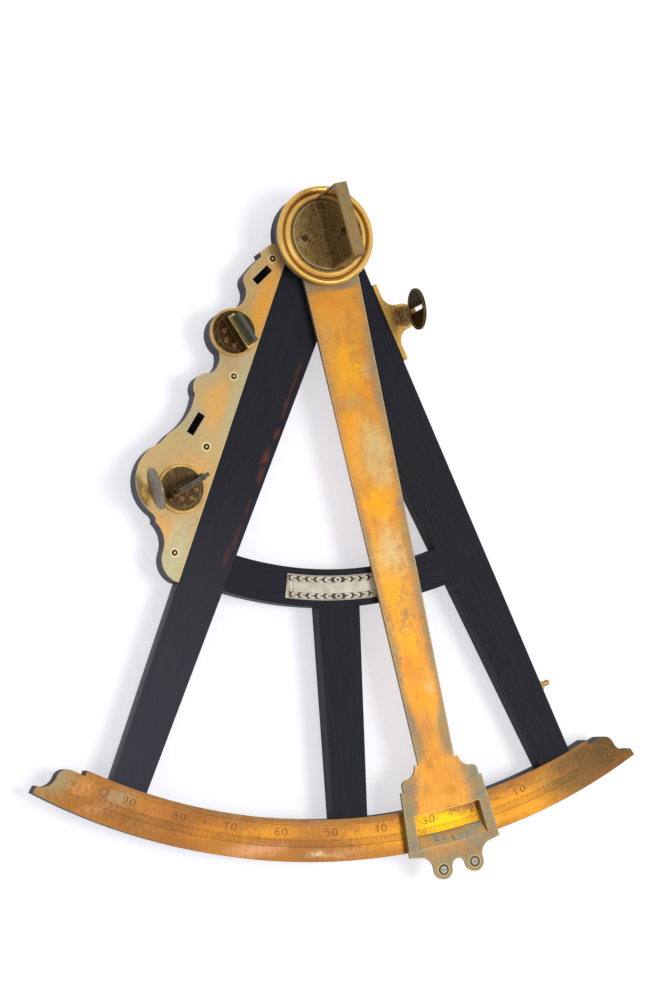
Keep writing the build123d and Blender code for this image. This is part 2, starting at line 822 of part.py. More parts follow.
def arm_outline():
    """The index arm's outline in its own frame, where it points along -Y."""
    shoulder_y = arm_shoulder - scale_radius
    shoulder_x = arm_half_width_end + arm_shoulder_step
    cove_x = shoulder_x + arm_cove
    cove_y = shoulder_y - arm_cove
    ovolo_x = cove_x + arm_ovolo
    head_y = arm_head_top - scale_radius
    head_x = ovolo_x + arm_head_step
    tip_radius = scale_radius + arm_tip
    tip_turn = degrees(atan2(head_x, -head_y))
    ear_y = -scale_radius - ear_drop
    ear_x = ear_spacing / 2
    ear_notch = ear_x - ear_radius
    cove_centre_y = -tip_radius - ear_cove
    cove_centre_x = ear_x + sqrt((ear_cove + ear_radius) ** 2 - (ear_y - cove_centre_y) ** 2)
    kiss = atan2(ear_y - cove_centre_y, ear_x - cove_centre_x)
    half_kiss = (kiss + radians(90)) / 2 + (radians(180) if kiss < 0 else 0)
    kiss_x = cove_centre_x + ear_cove * cos(kiss)
    kiss_y = cove_centre_y + ear_cove * sin(kiss)
    knee = sin(radians(45))
    with BuildSketch() as plan:
        with BuildLine():
            Polyline(
                (0, 0),
                (arm_half_width_top, 0),
                (arm_half_width_end, shoulder_y),
                (shoulder_x, shoulder_y),
            )
            ThreePointArc(
                (shoulder_x, shoulder_y),
                (cove_x - arm_cove * knee, shoulder_y - arm_cove * knee),
                (cove_x, cove_y),
            )
            ThreePointArc(
                (cove_x, cove_y),
                (cove_x + arm_ovolo * knee, cove_y - arm_ovolo * (1 - knee)),
                (ovolo_x, cove_y - arm_ovolo),
            )
            Polyline(
                (ovolo_x, cove_y - arm_ovolo),
                (ovolo_x, head_y),
                (head_x, head_y),
                polar(tip_radius, tip_turn),
                (cove_centre_x, -tip_radius),
            )
            ThreePointArc(
                (cove_centre_x, -tip_radius),
                (cove_centre_x + ear_cove * cos(half_kiss), cove_centre_y + ear_cove * sin(half_kiss)),
                (kiss_x, kiss_y),
            )
            ThreePointArc((kiss_x, kiss_y), (ear_x, ear_y - ear_radius), (ear_x - ear_radius, ear_y))
            ThreePointArc(
                (ear_x - ear_radius, ear_y),
                (ear_notch * knee, ear_y + ear_notch * knee),
                (0, ear_y + ear_notch),
            )
            mirror(about=Plane.YZ)
        make_face()
        Circle(arm_head_radius)
        add(
            arc_band(scale_radius - window_inside, scale_radius + window_outside, window_half_angle),
            mode=Mode.SUBTRACT,
        )
    return plan.sketch


ear_places = [(-ear_spacing / 2, -scale_radius - ear_drop), (ear_spacing / 2, -scale_radius - ear_drop)]

# Index arm with its vernier
with BuildPart() as index_arm:
    with BuildSketch(arm_plane(arm_z)):
        add(arm_outline())
        Circle(axle_radius + fixed_fit, mode=Mode.SUBTRACT)
        with Locations(*ear_places):
            Circle(ear_screw_radius + fixed_fit, mode=Mode.SUBTRACT)
    extrude(amount=arm_thickness)
    with BuildSketch(arm_plane(arm_top_z)):
        with Locations(*ear_places):
            Circle(ear_counterbore_radius)
    extrude(amount=-ear_counterbore_depth, mode=Mode.SUBTRACT)
index_arm.part.label = "index_arm"
export_step(index_arm.part, "parts/index_arm.step")

with BuildPart() as vernier_plate:
    turn = radians(rest_bearing - vernier_half_angle)
    edge_line = Plane(origin=(0, 0, 0), x_dir=(sin(turn), -cos(turn), 0), z_dir=(-cos(turn), -sin(turn), 0))
    with BuildSketch(edge_line):
        with BuildLine():
            Polyline(
                (scale_radius, scale_z + face_clearance),
                (scale_radius, scale_z + face_clearance + vernier_edge),
                (scale_radius + window_outside - face_clearance, arm_top_z),
                (scale_radius + window_outside - face_clearance, arm_z),
                (scale_radius + window_outside + vernier_rail, arm_z),
                (scale_radius + window_outside + vernier_rail, scale_z + face_clearance),
                close=True,
            )
        make_face()
    revolve(axis=Axis.Z, revolution_arc=2 * vernier_half_angle)
vernier_plate.part.label = "vernier_plate"
export_step(vernier_plate.part, "parts/vernier_plate.step")

# Index axle with its washer and nut
with BuildPart() as arm_axle:
    with BuildSketch(Plane.XY.offset(back_plate_z - face_clearance)):
        Circle(axle_radius)
    extrude(amount=arm_top_z - back_plate_z + face_clearance)
    with BuildSketch(Plane.XY.offset(nut_z - axle_thread_proud)):
        Circle(axle_thread_radius)
    extrude(amount=nut_thickness + washer_thickness + axle_thread_proud)
arm_axle.part.label = "arm_axle"
export_step(arm_axle.part, "parts/arm_axle.step")

with BuildPart() as axle_washer:
    with BuildSketch(Plane.XY.offset(washer_z)):
        Circle(washer_radius)
        Circle(axle_thread_radius + fixed_fit, mode=Mode.SUBTRACT)
    extrude(amount=washer_thickness)
axle_washer.part.label = "axle_washer"
export_step(axle_washer.part, "parts/axle_washer.step")

with BuildPart() as axle_nut:
    with BuildSketch(Plane.XY.offset(nut_z)):
        RegularPolygon(nut_across_flats / 2, 6, major_radius=False)
        Circle(axle_thread_radius + fixed_fit, mode=Mode.SUBTRACT)
    extrude(amount=nut_thickness)
axle_nut.part.label = "axle_nut"
export_step(axle_nut.part, "parts/axle_nut.step")

# Index disc and mirror over the pivot
with BuildPart() as index_disc:
    bead = disc_radius - disc_groove_radius
    inner_bead = disc_groove_radius - base_radius
    with BuildSketch(Plane.XZ):
        with BuildLine():
            Polyline(
                (0, arm_top_z),
                (disc_foot_radius, arm_top_z),
                (disc_foot_radius, disc_top_z - disc_bead_height),
                (disc_radius, disc_top_z - disc_bead_height + disc_undercut),
                (disc_radius, disc_top_z - bead / 2),
            )
            ThreePointArc(
                (disc_radius, disc_top_z - bead / 2),
                (disc_radius - bead / 2, disc_top_z),
                (disc_groove_radius, disc_top_z - bead / 2),
            )
            ThreePointArc(
                (disc_groove_radius, disc_top_z - bead / 2),
                (disc_groove_radius - inner_bead * 0.3, disc_top_z - bead / 5),
                (disc_groove_radius - inner_bead * 0.7, disc_top_z),
            )
            Polyline(
                (disc_groove_radius - inner_bead * 0.7, disc_top_z),
                (base_radius + fixed_fit, disc_top_z),
                (base_radius + fixed_fit, disc_top_z - base_depth),
                (0, disc_top_z - base_depth),
                (0, arm_top_z),
            )
        make_face()
    revolve(axis=Axis.Z)
    with BuildSketch(arm_plane(disc_top_z - base_depth)):
        with Locations(*mirror_screw_places):
            Circle(mirror_screw_shank + fixed_fit)
    extrude(amount=base_depth - mirror_screw_length, mode=Mode.SUBTRACT)
index_disc.part.label = "index_disc"
export_step(index_disc.part, "parts/index_disc.step")

with BuildPart() as mirror_base:
    with BuildSketch(arm_plane(disc_top_z - base_depth)):
        Circle(base_radius)
        with Locations(*mirror_screw_places):
            Circle(mirror_screw_shank + fixed_fit, mode=Mode.SUBTRACT)
    extrude(amount=base_depth)
mirror_base.part.label = "mirror_base"
export_step(mirror_base.part, "parts/mirror_base.step")

with BuildPart() as mirror_screws:
    with BuildSketch(arm_plane(disc_top_z - mirror_screw_length)):
        with Locations(*mirror_screw_places):
            Circle(mirror_screw_shank)
    extrude(amount=mirror_screw_length)
    with BuildSketch(arm_plane(disc_top_z)):
        with Locations(*mirror_screw_places):
            Circle(mirror_screw_radius)
    extrude(amount=mirror_screw_head)
    chamfer(mirror_screws.faces().sort_by(Axis.Z)[-3:].edges(), length=mirror_screw_head / 2)
    with BuildSketch(arm_plane(disc_top_z + mirror_screw_head)):
        with Locations(*mirror_screw_places):
            Rectangle(2 * mirror_screw_radius, screw_slot_width)
    extrude(amount=-screw_slot_depth, mode=Mode.SUBTRACT)
mirror_screws.part.label = "mirror_screws"
export_step(mirror_screws.part, "parts/mirror_screws.step")

with BuildPart() as mirror_frame:
    with BuildSketch(arm_plane(disc_top_z, mirror_turn)):
        with Locations((mirror_depth / 2 - mirror_lip - mirror_setback, mirror_shift)):
            Rectangle(mirror_depth, mirror_length)
    extrude(amount=mirror_height)
    with BuildSketch(arm_plane(disc_top_z, mirror_turn)):
        with Locations(((mirror_glass_thickness - mirror_lip) / 2 - mirror_setback, mirror_shift)):
            Rectangle(mirror_glass_thickness + mirror_lip, glass_length)
    extrude(amount=mirror_height - mirror_ledge, mode=Mode.SUBTRACT)
    chamfer(mirror_frame.faces().sort_by(Axis.Z)[-1].edges(), length=edge_break)
mirror_frame.part.label = "mirror_frame"
export_step(mirror_frame.part, "parts/mirror_frame.step")

with BuildPart() as mirror_glass:
    with BuildSketch(arm_plane(disc_top_z, mirror_turn)):
        with Locations((mirror_glass_thickness / 2 - mirror_setback, mirror_shift)):
            Rectangle(mirror_glass_thickness - 2 * fixed_fit, glass_length - 2 * fixed_fit)
    extrude(amount=mirror_height - mirror_ledge - fixed_fit)
mirror_glass.part.label = "mirror_glass"
export_step(mirror_glass.part, "parts/mirror_glass.step")

# Keeper that clasps the limb from behind, with its spacers, screws, spring and thumbscrew
with BuildPart() as ear_spacers:
    with BuildSketch(arm_plane(scale_z)):
        with Locations(*ear_places):
            Circle(spacer_radius)
            Circle(ear_screw_radius + fixed_fit, mode=Mode.SUBTRACT)
    extrude(amount=arm_gap)
ear_spacers.part.label = "ear_spacers"
export_step(ear_spacers.part, "parts/ear_spacers.step")

with BuildPart() as keeper_plate:
    keeper_inner = limb_inner - keeper_inset
    strap_inner = limb_outer + keeper_strap_gap
    strap_outer = strap_inner + keeper_strap_thickness
    ear_reach = scale_radius + ear_drop
    with BuildSketch(arm_plane(keeper_z)):
        with Locations((0, -(keeper_inner + limb_outer) / 2)):
            Rectangle(2 * keeper_half_width, limb_outer - keeper_inner)
        with Locations((keeper_strap_shift, -(limb_outer + strap_outer) / 2)):
            Rectangle(keeper_strap_width, strap_outer - limb_outer)
        with Locations((0, -scale_radius)):
            Circle(thumbscrew_radius + running_fit, mode=Mode.SUBTRACT)
    extrude(amount=keeper_thickness)
    with BuildSketch(arm_plane(keeper_z)):
        with Locations((keeper_strap_shift, -(strap_inner + strap_outer) / 2)):
            Rectangle(keeper_strap_width, keeper_strap_thickness)
    extrude(amount=scale_z - keeper_z)
    with BuildSketch(arm_plane(keeper_ear_z)):
        with Locations((0, -(strap_inner + ear_reach) / 2)):
            Rectangle(ear_spacing + keeper_lug_radius / 2, ear_reach - strap_inner)
        with Locations(*ear_places):
            Circle(keeper_lug_radius)
        with Locations((0, -ear_reach)):
            Circle(ear_spacing / 2 - keeper_lug_radius, mode=Mode.SUBTRACT)
        with Locations(*ear_places):
            Circle(ear_screw_radius + fixed_fit, mode=Mode.SUBTRACT)
    extrude(amount=keeper_thickness)
keeper_plate.part.label = "keeper_plate"
export_step(keeper_plate.part, "parts/keeper_plate.step")

with BuildPart() as keeper_screws:
    with BuildSketch(arm_plane(keeper_ear_z)):
        with Locations(*ear_places):
            Circle(ear_screw_radius)
    extrude(amount=arm_top_z - ear_counterbore_depth - keeper_ear_z)
    with BuildSketch(arm_plane(arm_top_z - ear_counterbore_depth)):
        with Locations(*ear_places):
            Circle(ear_screw_head_radius)
    extrude(amount=ear_screw_head_height)
    chamfer(keeper_screws.faces().sort_by(Axis.Z)[-2:].edges(), length=edge_break)
    with BuildSketch(arm_plane(arm_top_z - ear_counterbore_depth + ear_screw_head_height)):
        with Locations(*ear_places):
            Rectangle(2 * ear_screw_head_radius, screw_slot_width)
    extrude(amount=-screw_slot_depth, mode=Mode.SUBTRACT)
keeper_screws.part.label = "keeper_screws"
export_step(keeper_screws.part, "parts/keeper_screws.step")

with BuildPart() as keeper_spring:
    turn = radians(rest_bearing)
    x, y = polar(scale_radius - spring_width / 2, rest_bearing)
    crown = keeper_gap - face_clearance
    across = (cos(turn), sin(turn), 0)
    bow = Plane(origin=(x, y, keeper_top_z), x_dir=across, z_dir=(sin(turn), -cos(turn), 0))
    with BuildSketch(bow):
        with BuildLine():
            ThreePointArc((-spring_half_length, 0), (0, crown - spring_thickness), (spring_half_length, 0))
            Line((spring_half_length, 0), (spring_half_length, spring_thickness))
            ThreePointArc(
                (spring_half_length, spring_thickness), (0, crown), (-spring_half_length, spring_thickness)
            )
            Line((-spring_half_length, spring_thickness), (-spring_half_length, 0))
        make_face()
    extrude(amount=spring_width)
keeper_spring.part.label = "keeper_spring"
export_step(keeper_spring.part, "parts/keeper_spring.step")

with BuildPart() as arm_clamp_screw:
    with BuildSketch(arm_plane(keeper_z - face_clearance - thumbscrew_head_height)):
        with Locations((0, -scale_radius)):
            Circle(thumbscrew_head_radius)
    extrude(amount=thumbscrew_head_height)
    chamfer(arm_clamp_screw.edges(), length=knob_chamfer)
    with BuildSketch(arm_plane(keeper_z - face_clearance)):
        with Locations((0, -scale_radius)):
            Circle(thumbscrew_radius)
    extrude(amount=keeper_thickness + keeper_gap - spring_thickness - face_clearance)
arm_clamp_screw.part.label = "arm_clamp_screw"
export_step(arm_clamp_screw.part, "parts/arm_clamp_screw.step")


def holder_channel(inside, outside, trim):
    """The plan of a horizon mirror's channel between two distances ahead of its stem."""
    with BuildSketch() as plan:
        with Locations(((inside + outside) / 2, holder_shift)):
            Rectangle(outside - inside, pane_length + 2 * (pane_clearance + holder_wall) - 2 * trim)
    return plan.sketch


def holder_foot():
    """The plan of a horizon mirror's foot, a round plate behind the channel."""
    with BuildSketch() as plan:
        Circle(holder_foot_radius)
        with Locations((holder_foot_radius + holder_back, 0)):
            Rectangle(2 * holder_foot_radius, 2 * holder_foot_radius, mode=Mode.SUBTRACT)
    return plan.sketch


def lever_plan():
    """The plan of an adjusting lever, which tapers from its hub to its tip."""
    with BuildSketch() as plan:
        with BuildLine():
            Polyline(
                (0, lever_width / 2),
                (lever_length - lever_tip_width / 2, lever_tip_width / 2),
                (lever_length - lever_tip_width / 2, -lever_tip_width / 2),
                (0, -lever_width / 2),
                close=True,
            )
        make_face()
        Circle(lever_hub_radius)
        with Locations((lever_length - lever_tip_width / 2, 0)):
            Circle(lever_tip_width / 2)
        Circle(stem_radius + fixed_fit, mode=Mode.SUBTRACT)
    return plan.sketch


# Horizon mirrors: each has a seat on the cheek, a turntable, a holder, a pane, a lever and a nut
for station, place, bearing in (
    ("fore", fore_mirror_place, fore_mirror_bearing),
    ("back", back_mirror_place, back_mirror_bearing),
):
    stem_at = on_cheek(place)
    with BuildPart() as seat:
        with BuildSketch(Plane.XY.offset(back_z)):
            with Locations(stem_at):
                Circle(seat_barrel_radius)
        extrude(amount=cheek_z - back_z)
        with BuildSketch(Plane.XY.offset(cheek_z)):
            with Locations(stem_at):
                Circle(seat_radius)
        extrude(amount=seat_height)
        chamfer(seat.faces().sort_by(Axis.Z)[-1].edges(), length=edge_break)
        with BuildSketch(Plane.XY.offset(cheek_z + seat_floor)):
            with Locations(stem_at):
                Circle(seat_radius - seat_rim)
        extrude(amount=seat_height - seat_floor, mode=Mode.SUBTRACT)
        with BuildSketch(Plane.XY.offset(back_z)):
            with Locations(stem_at):
                Circle(stem_radius + running_fit)
        extrude(amount=cheek_z - back_z + seat_floor, mode=Mode.SUBTRACT)
    seat.part.label = f"{station}_mirror_seat"
    export_step(seat.part, f"parts/{station}_mirror_seat.step")

    with BuildPart() as turntable:
        with BuildSketch(station_plane(place, bearing, turntable_z)):
            Circle(seat_radius - seat_rim - running_fit)
        extrude(amount=turntable_thickness)
        with BuildSketch(Plane.XY.offset(lever_z)):
            with Locations(stem_at):
                Circle(stem_radius)
        extrude(amount=turntable_z - lever_z)
        with BuildSketch(Plane.XY.offset(clamp_nut_z - stem_thread_proud)):
            with Locations(stem_at):
                Circle(stem_thread_radius)
        extrude(amount=lever_z - clamp_nut_z + stem_thread_proud)
        with BuildSketch(station_plane(place, bearing, turntable_z)):
            with Locations(*holder_screws):
                Circle(holder_screw_shank + fixed_fit)
        extrude(amount=turntable_thickness, mode=Mode.SUBTRACT)
    turntable.part.label = f"{station}_mirror_base"
    export_step(turntable.part, f"parts/{station}_mirror_base.step")

    with BuildPart() as holder:
        with BuildSketch(station_plane(place, bearing, holder_z)):
            add(holder_foot())
            add(holder_channel(holder_back, pane_front + holder_lip, 0))
            with Locations(*holder_screws):
                Circle(holder_screw_shank + fixed_fit, mode=Mode.SUBTRACT)
        extrude(amount=holder_floor)
        with BuildSketch(station_plane(place, bearing, holder_z)):
            add(holder_channel(holder_back, pane_front + holder_lip, 0))
        extrude(amount=holder_height)
        with BuildSketch(station_plane(place, bearing, holder_z + holder_floor)):
            add(holder_channel(pane_back, pane_front, holder_wall))
        extrude(amount=holder_height, mode=Mode.SUBTRACT)
        lip_z = holder_z + holder_lip_height
        with BuildSketch(station_plane(place, bearing, lip_z)):
            add(holder_channel(pane_back, pane_front + 2 * holder_lip, holder_return))
        extrude(amount=holder_height, mode=Mode.SUBTRACT)
    holder.part.label = f"{station}_mirror_holder"
    export_step(holder.part, f"parts/{station}_mirror_holder.step")

    with BuildPart() as pane:
        with BuildSketch(station_plane(place, bearing, holder_z + holder_floor)):
            with Locations((pane_back + pane_clearance + pane_thickness / 2, holder_shift)):
                Rectangle(pane_thickness, pane_length)
        extrude(amount=pane_height)
    pane.part.label = f"{station}_mirror_glass"
    export_step(pane.part, f"parts/{station}_mirror_glass.step")

    with BuildPart() as holder_pins:
        with BuildSketch(station_plane(place, bearing, turntable_z)):
            with Locations(*holder_screws):
                Circle(holder_screw_shank)
        extrude(amount=turntable_thickness + holder_floor)
        with BuildSketch(station_plane(place, bearing, holder_z + holder_floor)):
            with Locations(*holder_screws):
                Circle(holder_screw_radius)
        extrude(amount=holder_screw_head)
        chamfer(holder_pins.faces().sort_by(Axis.Z)[-3:].edges(), length=holder_screw_head / 2)
        slot_z = holder_z + holder_floor + holder_screw_head
        with BuildSketch(station_plane(place, bearing, slot_z)):
            with Locations(*holder_screws):
                Rectangle(2 * holder_screw_radius, screw_slot_width, rotation=holder_slot_turn)
        extrude(amount=-screw_slot_depth, mode=Mode.SUBTRACT)
    holder_pins.part.label = f"{station}_mirror_screws"
    export_step(holder_pins.part, f"parts/{station}_mirror_screws.step")

    with BuildPart() as lever:
        with BuildSketch(station_plane(place, -leg_half_angle, lever_z)):
            add(lever_plan())
        extrude(amount=lever_thickness)
        with BuildSketch(station_plane(place, -leg_half_angle, lever_z - lever_knob_height)):
            with Locations((lever_length - lever_tip_width / 2, 0)):
                Circle(lever_knob_radius)
        extrude(amount=lever_knob_height)
        chamfer(lever.faces().sort_by(Axis.Z)[0].edges(), length=knob_chamfer)
    lever.part.label = f"{station}_mirror_lever"
    export_step(lever.part, f"parts/{station}_mirror_lever.step")

    with BuildPart() as clamp_nut:
        with BuildSketch(Plane.XY.offset(clamp_nut_z)):
            with Locations(stem_at):
                Circle(clamp_nut_radius)
        extrude(amount=clamp_nut_thickness)
        chamfer(clamp_nut.edges(), length=knob_chamfer)
        with BuildSketch(Plane.XY.offset(clamp_nut_z)):
            with Locations(stem_at):
                Circle(stem_thread_radius + running_fit)
        extrude(amount=clamp_nut_thickness, mode=Mode.SUBTRACT)
    clamp_nut.part.label = f"{station}_clamp_nut"
    export_step(clamp_nut.part, f"parts/{station}_clamp_nut.step")

# Fore sight: a bracket on the right leg's edge, a turned pillar and a slotted disc
fore_sight_at = leg_point(1, fore_sight_place[0], fore_sight_place[1])

with BuildPart() as sight_bracket:
    with BuildSketch(Plane.XY.offset(bracket_top_z - bracket_depth)):
        with BuildLine():
            Polyline(
                leg_point(1, bracket_start, 0),
                leg_point(1, bracket_start, bracket_flange),
                leg_point(1, bracket_end, bracket_flange),
                leg_point(1, bracket_end, 0),
                close=True,
            )
        make_face()
    extrude(amount=bracket_depth)
    with BuildSketch(Plane.XY.offset(bracket_top_z - bracket_plate)):
        with BuildLine():
            reach = bracket_platform_radius
            near = bracket_flange / 2
            far = fore_sight_place[1]
            s = fore_sight_place[0]
            back = s + reach + bracket_cove
            knee = sin(radians(45))
            rise = far - bracket_flange
            ThreePointArc(
                leg_point(1, s - reach, far),
                leg_point(1, s - reach - bracket_cove * (1 - knee), far - rise * knee),
                leg_point(1, s - reach - bracket_cove, bracket_flange),
            )
            Line(leg_point(1, s - reach - bracket_cove, bracket_flange),
                 leg_point(1, s - reach - bracket_cove, near))
            Line(leg_point(1, s - reach - bracket_cove, near), leg_point(1, back, near))
            Line(leg_point(1, back, near), leg_point(1, back, bracket_flange))
            ThreePointArc(
                leg_point(1, back, bracket_flange),
                leg_point(1, s + reach + bracket_cove * (1 - knee), far - rise * knee),
                leg_point(1, s + reach, far),
            )
            ThreePointArc(
                leg_point(1, s + reach, far),
                leg_point(1, s, far + reach),
                leg_point(1, s - reach, far),
            )
        make_face()
        with Locations(fore_sight_at):
            Circle(fore_spigot_radius + running_fit, mode=Mode.SUBTRACT)
    extrude(amount=bracket_plate)
    for along in bracket_screws_along:
        with BuildSketch(edge_plane(along, half_z)):
            Circle(bracket_screw_radius + fixed_fit)
        extrude(amount=bracket_flange, mode=Mode.SUBTRACT)
sight_bracket.part.label = "sight_bracket"
export_step(sight_bracket.part, "parts/sight_bracket.step")

with BuildPart() as bracket_screws:
    for along in bracket_screws_along:
        with BuildSketch(edge_plane(along, half_z)):
            Circle(bracket_screw_radius)
        extrude(amount=-bracket_screw_length)
        with BuildSketch(edge_plane(along, half_z)):
            Circle(bracket_screw_radius)
        extrude(amount=bracket_flange)
        outside = edge_plane(along, half_z).offset(bracket_flange)
        with BuildSketch(outside):
            Circle(bracket_screw_head_radius)
            Rectangle(2 * bracket_screw_head_radius, screw_slot_width, mode=Mode.SUBTRACT)
        extrude(amount=bracket_screw_head_height)
        with BuildSketch(outside):
            Circle(bracket_screw_head_radius)
        extrude(amount=bracket_screw_head_height - screw_slot_depth)
bracket_screws.part.label = "bracket_screws"
export_step(bracket_screws.part, "parts/bracket_screws.step")

with BuildPart() as fore_sight_stem:
    x, y = fore_sight_at
    turn = radians(fore_sight_bearing)
    low = bracket_top_z + face_clearance
    high = fore_sight_z - fore_disc_radius + disc_seat_depth
    under = bracket_top_z - bracket_plate - face_clearance
    neck_low = low + fore_pillar_foot + pillar_bevel
    neck_high = neck_low + fore_pillar_neck_height
    upright = Plane(origin=(x, y, 0), x_dir=(cos(turn), sin(turn), 0), z_dir=(sin(turn), -cos(turn), 0))
    with BuildSketch(upright):
        with BuildLine():
            Polyline(
                (0, under - rivet_head),
                (rivet_head_radius, under - rivet_head),
                (rivet_head_radius, under),
                (fore_spigot_radius, under),
                (fore_spigot_radius, low),
                (fore_pillar_radius, low),
                (fore_pillar_radius, low + fore_pillar_foot),
                (fore_pillar_radius - pillar_bevel, neck_low),
            )
            ThreePointArc(
                (fore_pillar_radius - pillar_bevel, neck_low),
                (fore_pillar_neck_radius, (neck_low + neck_high) / 2),
                (fore_pillar_stem_radius, neck_high),
            )
            Polyline(
                (fore_pillar_stem_radius, neck_high),
                (fore_pillar_bead_radius, neck_high + pillar_bevel),
                (fore_pillar_bead_radius, neck_high + pillar_bevel + fore_pillar_bead_height),
                (fore_pillar_stem_radius, neck_high + 2 * pillar_bevel + fore_pillar_bead_height),
                (fore_pillar_stem_radius, high - pillar_bevel),
                (fore_pillar_stem_radius - pillar_bevel, high),
                (0, high),
                (0, under - rivet_head),
            )
        make_face()
    revolve(axis=Axis((x, y, 0), (0, 0, 1)))
    with BuildSketch(upright):
        with Locations((0, high)):
            Rectangle(fore_disc_thickness + 2 * fixed_fit, 2 * disc_seat_depth)
    extrude(amount=fore_pillar_radius, both=True, mode=Mode.SUBTRACT)
fore_sight_stem.part.label = "fore_sight_stem"
export_step(fore_sight_stem.part, "parts/fore_sight_stem.step")

with BuildPart() as fore_sight_disc:
    with BuildSketch(disc_plane(fore_sight_at, fore_sight_bearing, fore_sight_z)):
        Circle(fore_disc_radius)
        Rectangle(fore_slit_width, fore_slit_length, mode=Mode.SUBTRACT)
    extrude(amount=fore_disc_thickness / 2, both=True)
    chamfer(fore_sight_disc.edges().filter_by(GeomType.CIRCLE), length=edge_break)
    face = disc_plane(fore_sight_at, fore_sight_bearing, fore_sight_z)
    for side in (-1, 1):
        with BuildSketch(face.offset(side * fore_disc_thickness / 2)):
            Circle(fore_disc_radius - disc_rim)
        extrude(amount=-side * disc_recess, mode=Mode.SUBTRACT)
fore_sight_disc.part.label = "fore_sight_disc"
export_step(fore_sight_disc.part, "parts/fore_sight_disc.step")

# Back sight: a short turned stem and a pinhole disc on the cheek
with BuildPart() as back_sight_stem:
    x, y = on_cheek(back_sight_place)
    turn = radians(back_sight_bearing)
    low = cheek_z + face_clearance
    high = back_sight_z - back_disc_radius + disc_seat_depth
    neck_low = low + back_collar_height + pillar_bevel
    neck_high = neck_low + back_neck_height
    upright = Plane(origin=(x, y, 0), x_dir=(cos(turn), sin(turn), 0), z_dir=(sin(turn), -cos(turn), 0))
    with BuildSketch(upright):
        with BuildLine():
            Polyline(
                (0, cheek_z - back_spigot_length),
                (back_spigot_radius, cheek_z - back_spigot_length),
                (back_spigot_radius, low),
                (back_collar_radius, low),
                (back_collar_radius, low + back_collar_height),
                (back_collar_radius - pillar_bevel, neck_low),
            )
            ThreePointArc(
                (back_collar_radius - pillar_bevel, neck_low),
                (back_neck_radius, (neck_low + neck_high) / 2),
                (back_stem_radius, neck_high),
            )
            Polyline(
                (back_stem_radius, neck_high),
                (back_stem_radius, high - pillar_bevel),
                (back_stem_radius - pillar_bevel, high),
                (0, high),
                (0, cheek_z - back_spigot_length),
            )
        make_face()
    revolve(axis=Axis((x, y, 0), (0, 0, 1)))
    with BuildSketch(upright):
        with Locations((0, high)):
            Rectangle(back_disc_thickness + 2 * fixed_fit, 2 * disc_seat_depth)
    extrude(amount=back_collar_radius, both=True, mode=Mode.SUBTRACT)
back_sight_stem.part.label = "back_sight_stem"
export_step(back_sight_stem.part, "parts/back_sight_stem.step")

with BuildPart() as back_sight_disc:
    with BuildSketch(disc_plane(on_cheek(back_sight_place), back_sight_bearing, back_sight_z)):
        Circle(back_disc_radius)
    extrude(amount=back_disc_thickness / 2, both=True)
    chamfer(back_sight_disc.edges().filter_by(GeomType.CIRCLE), length=edge_break)
    with BuildSketch(disc_plane(on_cheek(back_sight_place), back_sight_bearing, back_sight_z)):
        Circle(back_pinhole_radius)
    extrude(amount=back_disc_thickness, both=True, mode=Mode.SUBTRACT)
back_sight_disc.part.label = "back_sight_disc"
export_step(back_sight_disc.part, "parts/back_sight_disc.step")

# Stowage peg on the right leg's outer edge
with BuildPart() as side_peg:
    base = edge_plane(peg_place, half_z)
    outward = base.z_dir
    with BuildSketch(Plane(origin=base.origin, x_dir=outward, z_dir=(-outward.Y, outward.X, 0))):
        with BuildLine():
            Polyline(
                (-peg_pin_root, 0),
                (-peg_pin_root, peg_pin_radius),
                (0, peg_pin_radius),
                (0, peg_boss_radius),
                (peg_boss_height, peg_boss_tip_radius),
                (peg_boss_height, peg_pin_radius),
                (peg_boss_height + peg_pin_reach - pillar_bevel, peg_pin_radius),
                (peg_boss_height + peg_pin_reach, peg_pin_tip_radius),
                (peg_boss_height + peg_pin_reach, 0),
                (-peg_pin_root, 0),
            )
        make_face()
    revolve(axis=Axis(base.origin, outward))
side_peg.part.label = "side_peg"
export_step(side_peg.part, "parts/side_peg.step")
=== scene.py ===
"""The octant on a pale floor: camera, light, materials and the engraved detail on its faces.

All lengths are in metres unless a name ends in mm, in the CAD model's frame.
Bearings are in degrees from -Y, positive towards +X, about the index pivot.
"""

import math

import bpy
from mathutils import Matrix, Vector


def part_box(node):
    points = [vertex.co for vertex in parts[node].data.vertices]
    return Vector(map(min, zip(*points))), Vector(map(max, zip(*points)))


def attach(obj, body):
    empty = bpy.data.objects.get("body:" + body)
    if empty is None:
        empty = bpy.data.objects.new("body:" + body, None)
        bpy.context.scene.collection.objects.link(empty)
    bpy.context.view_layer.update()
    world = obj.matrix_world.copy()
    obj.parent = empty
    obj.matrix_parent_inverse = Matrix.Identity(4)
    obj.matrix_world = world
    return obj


# Camera, at the photograph's viewing angle
camera_data = bpy.data.cameras.new("camera")
camera_data.lens = 76.34
camera_data.clip_start = 0.05
camera = bpy.data.objects.new("camera", camera_data)
camera.matrix_world = Matrix((
    (0.942074, 0.017653, -0.334939, -0.475145),
    (-0.053839, 0.993624, -0.099063, -0.317875),
    (0.331054, 0.111358, 0.937018, 1.355538),
    (0.0, 0.0, 0.0, 1.0),
))
bpy.context.scene.collection.objects.link(camera)
bpy.context.scene.camera = camera

